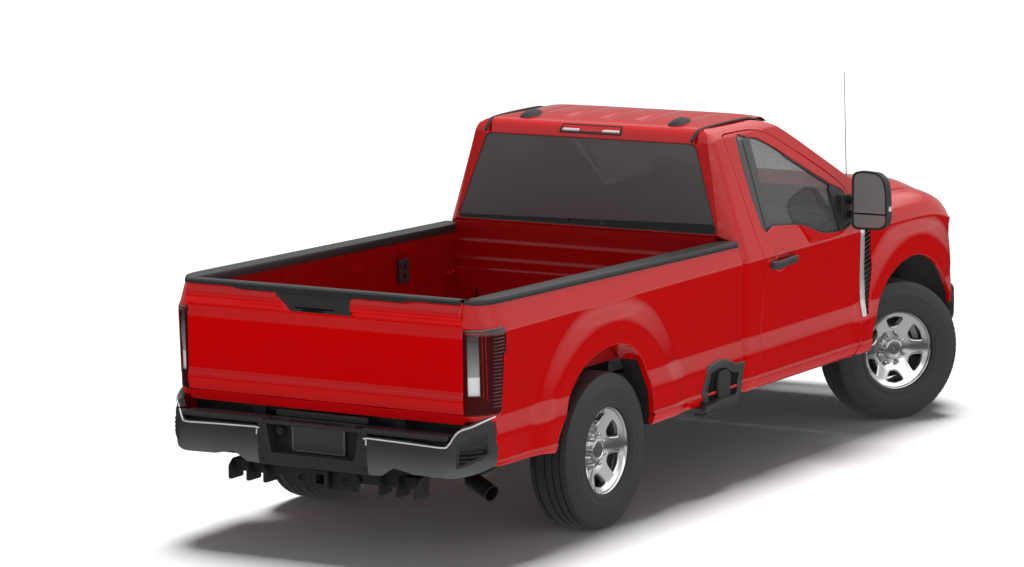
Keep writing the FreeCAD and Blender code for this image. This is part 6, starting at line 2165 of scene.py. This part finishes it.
@dataclass(frozen=True)
class BedSteps:
    """The folding steps in the bed sides: a satin frame, a dark fold and a ribbed tread."""

    upright_z: float = 0.56
    frame_line: tuple[Pair, ...] = ((-0.531, 0.708), (-0.399, 0.726), (-0.318, 0.714),
                                    (-0.222, 0.675), (-0.118, 0.672), (-0.160, 0.530),
                                    (-0.190, 0.470), (-0.560, 0.470), (-0.588, 0.560))
    hollow: tuple[Pair, ...] = ((-0.505, 0.676), (-0.400, 0.690), (-0.330, 0.682),
                                (-0.240, 0.640), (-0.168, 0.634), (-0.205, 0.500),
                                (-0.530, 0.500), (-0.548, 0.565))

    def build(self) -> None:
        """Build both steps."""
        hollow = rounded(self.hollow, 0.014, 3)
        rim = skin(rounded(self.frame_line, 0.012, 3), SIDE.proud(0.009, self.upright_z),
                   LEFTWARD, holes=[hollow], roll=0.006, depth=0.016, hole_depth=0.030)
        floor = skin(hollow, SIDE.proud(0.0012, self.upright_z), LEFTWARD, rows=0.03, roll=0.0)
        fold = slab(rounded([(-0.425, 0.500), (-0.300, 0.500), (-0.290, 0.640), (-0.330, 0.668),
                             (-0.415, 0.664), (-0.440, 0.610)], 0.014, 3), "xz", 0.990, 1.012,
                    0.006, 3)
        rows = []
        for x, top, low in ((-0.612, 0.486, 0.462), (-0.604, 0.500, 0.446), (-0.560, 0.510, 0.436),
                            (-0.400, 0.518, 0.430), (-0.300, 0.516, 0.432),
                            (-0.262, 0.504, 0.444), (-0.250, 0.486, 0.462)):
            rows.append([(x, y, z) for y, z in eased(
                ((0.955, low), (1.005, low), (1.034, low + 0.012), (1.040, (top + low) / 2),
                 (1.034, top - 0.008), (1.010, top), (0.955, top)), 0.006, 2)])
        tread = grid(rows)
        ribs = Shell()
        for k in range(14):
            x = -0.590 + k * 0.0245
            ribs.add(tube([(x, 0.965, 0.5165), (x, 1.012, 0.5165), (x, 1.034, 0.505)], 0.0035, 6))
        SHOP.make("bed_step_frames", rim.both(), SATIN_BLACK, "root", ("bed_steps",))
        SHOP.make("bed_step_hollows", floor.both(), GLOSS_BLACK)
        SHOP.make("bed_step_folds", fold.both(), BLACK_TRIM, fix_normals=True)
        SHOP.make("bed_step_treads", tread.both(), BLACK_TRIM, fix_normals=True)
        SHOP.make("bed_step_tread_ribs", ribs.both(), BLACK_TRIM, fix_normals=True)


@dataclass(frozen=True)
class Wheel:
    """A chrome wheel with its tyre, drawn about the Y axis facing +Y."""

    tyre_radius: float = 0.4215
    tyre_width: float = 0.275
    dish: CreasedLine = CreasedLine((
        (0.0, 0.020, 0.0), (0.085, 0.030, 0.01), (0.120, 0.048, 0.01), (0.205, 0.082, 0.012),
        (0.226, 0.096, 0.006), (0.245, 0.100, 0.0)))
    windows: int = 6
    lug_nuts: int = 8
    tread_blocks: int = 76
    steer: float = -31.0
    kingpin: float = 0.770

    def tyre_shell(self) -> Shell:
        """Return the tyre with its sidewall rings and road tread."""
        half, r = self.tyre_width / 2, self.tyre_radius
        outer = [(0.232, half - 0.030), (0.240, half - 0.012), (0.252, half - 0.008),
                 (0.254, half - 0.004), (0.262, half - 0.003), (0.266, half - 0.006),
                 (0.300, half), (0.303, half + 0.001), (0.306, half), (0.340, half - 0.001),
                 (0.343, half), (0.346, half - 0.002), (0.372, half - 0.009),
                 (0.392, half - 0.016), (0.405, half - 0.022), (r - 0.007, half - 0.030)]
        tread = [(r - 0.004, half - 0.036)]
        for groove in (0.075, 0.030, -0.015):
            tread += [(r, groove + 0.006), (r - 0.010, groove + 0.004),
                      (r - 0.010, groove - 0.004), (r, groove - 0.006)]
        left = [(0.228, half - 0.05), *outer, *tread]
        right = [(radius, -y) for radius, y in reversed(left[:len(outer) + 6])]
        return lathe([*left, *right], 180).add(self._shoulder_blocks())

    def _shoulder_blocks(self) -> Shell:
        """Return the tread blocks along both shoulders."""
        half, r, count = self.tyre_width / 2, self.tyre_radius, self.tread_blocks
        block = Shell()
        for k in range(count):
            for sign in (1, -1):
                step = k + (0.5 if sign < 0 else 0)
                turn = Matrix.Rotation(2 * math.pi * step / count, 4, "Y")
                low, high = sign * 0.082, sign * (half - 0.0285)
                wide = math.pi * r / count * 0.80
                corners = [(-wide, low), (wide, low), (wide * 0.9 + 0.003, high),
                           (-wide * 0.9 + 0.003, high)]
                tops = [r, r, r - 0.0055, r - 0.0055]
                points = [(x, y, z - under) for under in (0.0, 0.012)
                          for (x, y), z in zip(corners, tops)]
                points += [(x, sign * (half - 0.017), r - 0.026)
                           for x in (wide * 0.8, -wide * 0.8)]
                faces = [(0, 1, 2, 3), (0, 4, 5, 1), (1, 5, 6, 2), (0, 3, 7, 4), (3, 2, 8, 9),
                         (2, 6, 8), (3, 9, 7)]
                block.add(Shell(points, [face[::-sign] for face in faces]).moved(turn))
        return block


    def face_shell(self) -> Shell:
        """Return the wheel's face with its rounded windows."""
        outline = [(0.226 * math.cos(a), 0.226 * math.sin(a)) for a in turns(120)]
        holes = [[(0.062 * math.cos(a), 0.062 * math.sin(a)) for a in turns(40)]]
        for k in range(self.windows):
            angle = 2 * math.pi * (k + 0.5) / self.windows
            corners = [(0.128, -0.23), (0.203, -0.36), (0.208, 0.0), (0.203, 0.36),
                       (0.128, 0.23)]
            points = [(r * math.cos(angle + a), r * math.sin(angle + a)) for r, a in corners]
            holes.append(rounded(points, 0.024, 6))
        return skin(outline, lambda x, z: (x, self.dish.at(math.hypot(x, z)), z), LEFTWARD,
                    holes=holes, columns=0.009, rows=0.009, depth=0.01, hole_roll=0.010,
                    hole_depth=0.022, edge_step=0.006)

    @staticmethod
    def rim_shell() -> Shell:
        """Return the rim's lip and barrel."""
        profile = [(0.222, 0.086), (0.224, 0.098), (0.230, 0.106), (0.236, 0.110),
                   (0.242, 0.109), (0.244, 0.103), (0.240, 0.097)]
        barrel = [(0.236, 0.095), (0.226, 0.088), (0.214, 0.060), (0.208, 0.020),
                  (0.206, -0.060), (0.214, -0.085), (0.226, -0.100), (0.236, -0.105)]
        return lathe(profile, 128).add(lathe(barrel[::-1]))

    def hub_shell(self) -> Shell:
        """Return the centre cap, hub ring and lug nuts."""
        cap = lathe([(0.064, 0.028), (0.064, 0.060), (0.060, 0.066), (0.050, 0.068),
                     (0.046, 0.064), (0.030, 0.062), (0.0005, 0.064)], 64)
        nut = lathe([(0.0125, 0.030), (0.0125, 0.052), (0.0105, 0.057), (0.0075, 0.060),
                     (0.0003, 0.061)], 12)
        for k in range(self.lug_nuts):
            angle = 2 * math.pi * (k + 0.5) / self.lug_nuts
            place = Matrix.Translation((0.085 * math.cos(angle), 0.0, 0.085 * math.sin(angle)))
            cap.add(nut.moved(place))
        return cap

    def build(self) -> None:
        """Build the four road wheels."""
        tyre, face, rim = self.tyre_shell(), self.face_shell(), self.rim_shell()
        hub = self.hub_shell()
        drum = lathe([(0.0005, 0.0), (0.060, 0.0), (0.062, 0.0), (0.165, 0.0), (0.178, 0.0),
                      (0.178, -0.03)], 64)
        for end, x, half, turned in (("front", 2.014, 0.867, self.steer),
                                     ("rear", -1.583, 0.853, 0.0)):
            for side in Side:
                place = self._place(side, x, half, turned)
                where = f"{end}_{side.word}"
                body = f"wheel_{where}"
                SHOP.make(f"tyre_skin_{where}", tyre.moved(place), RUBBER, body,
                          (f"tyre_{where}",), fix_normals=True)
                SHOP.make(f"wheel_face_{where}", face.moved(place), WHEEL_CHROME, body,
                          (f"wheel_{where}",))
                SHOP.make(f"wheel_rim_{where}", rim.moved(place), WHEEL_CHROME, body)
                SHOP.make(f"wheel_hub_{where}", hub.moved(place), WHEEL_CHROME, body)
                SHOP.make(f"wheel_disc_{where}", drum.moved(place), CASTING, body)

    def _place(self, side: Side, x: float, half: float, turned: float) -> Matrix:
        """Return the matrix that puts a wheel at its hub, steered about its kingpin."""
        mirror = Matrix.Diagonal((1.0, float(side.value), 1.0, 1.0))
        out = Matrix.Translation((0.0, (half - self.kingpin) * side.value, 0.0))
        pivot = (x, self.kingpin * side.value, self.tyre_radius)
        return posed(pivot, turned, "Z") @ out @ mirror


def dress_chassis() -> None:
    """Give the carried-over nodes their finishes."""
    SHOP.dress(CHASSIS, "frame_rails", "suspension", "hitch", "radiator_support")
    SHOP.dress(CASTING, "engine_block", "driveline", "front_axle", "rear_axle", "knuckle_left",
               "knuckle_right")
    SHOP.dress(DULL_STEEL, "exhaust")
    SHOP.dress(BLACK_TRIM, "fuel_tank", "dashboard", "steering_wheel", "grille")
    SHOP.dress(RUBBER, "spare_wheel")
    SHOP.dress(CLOTH, "bench_seat")
    SHOP.dress(SHADED_BED_PAINT, "bed_box")


def main() -> None:
    """Build the studio and every piece of the truck in order."""
    logging.basicConfig(level=logging.INFO, format="%(message)s")
    Studio().build()
    dress_chassis()
    BED.build()
    Tailgate().build()
    TailLamp().build()
    RearBumper().build()
    Towing().build()
    CAB.build()
    Mirrors().build()
    RoofFittings().build()
    Front().build()
    BedSteps().build()
    Wheel().build()
    LOG.info("triangles added: %d", SHOP.triangles)


if __name__ == "__main__":
    main()
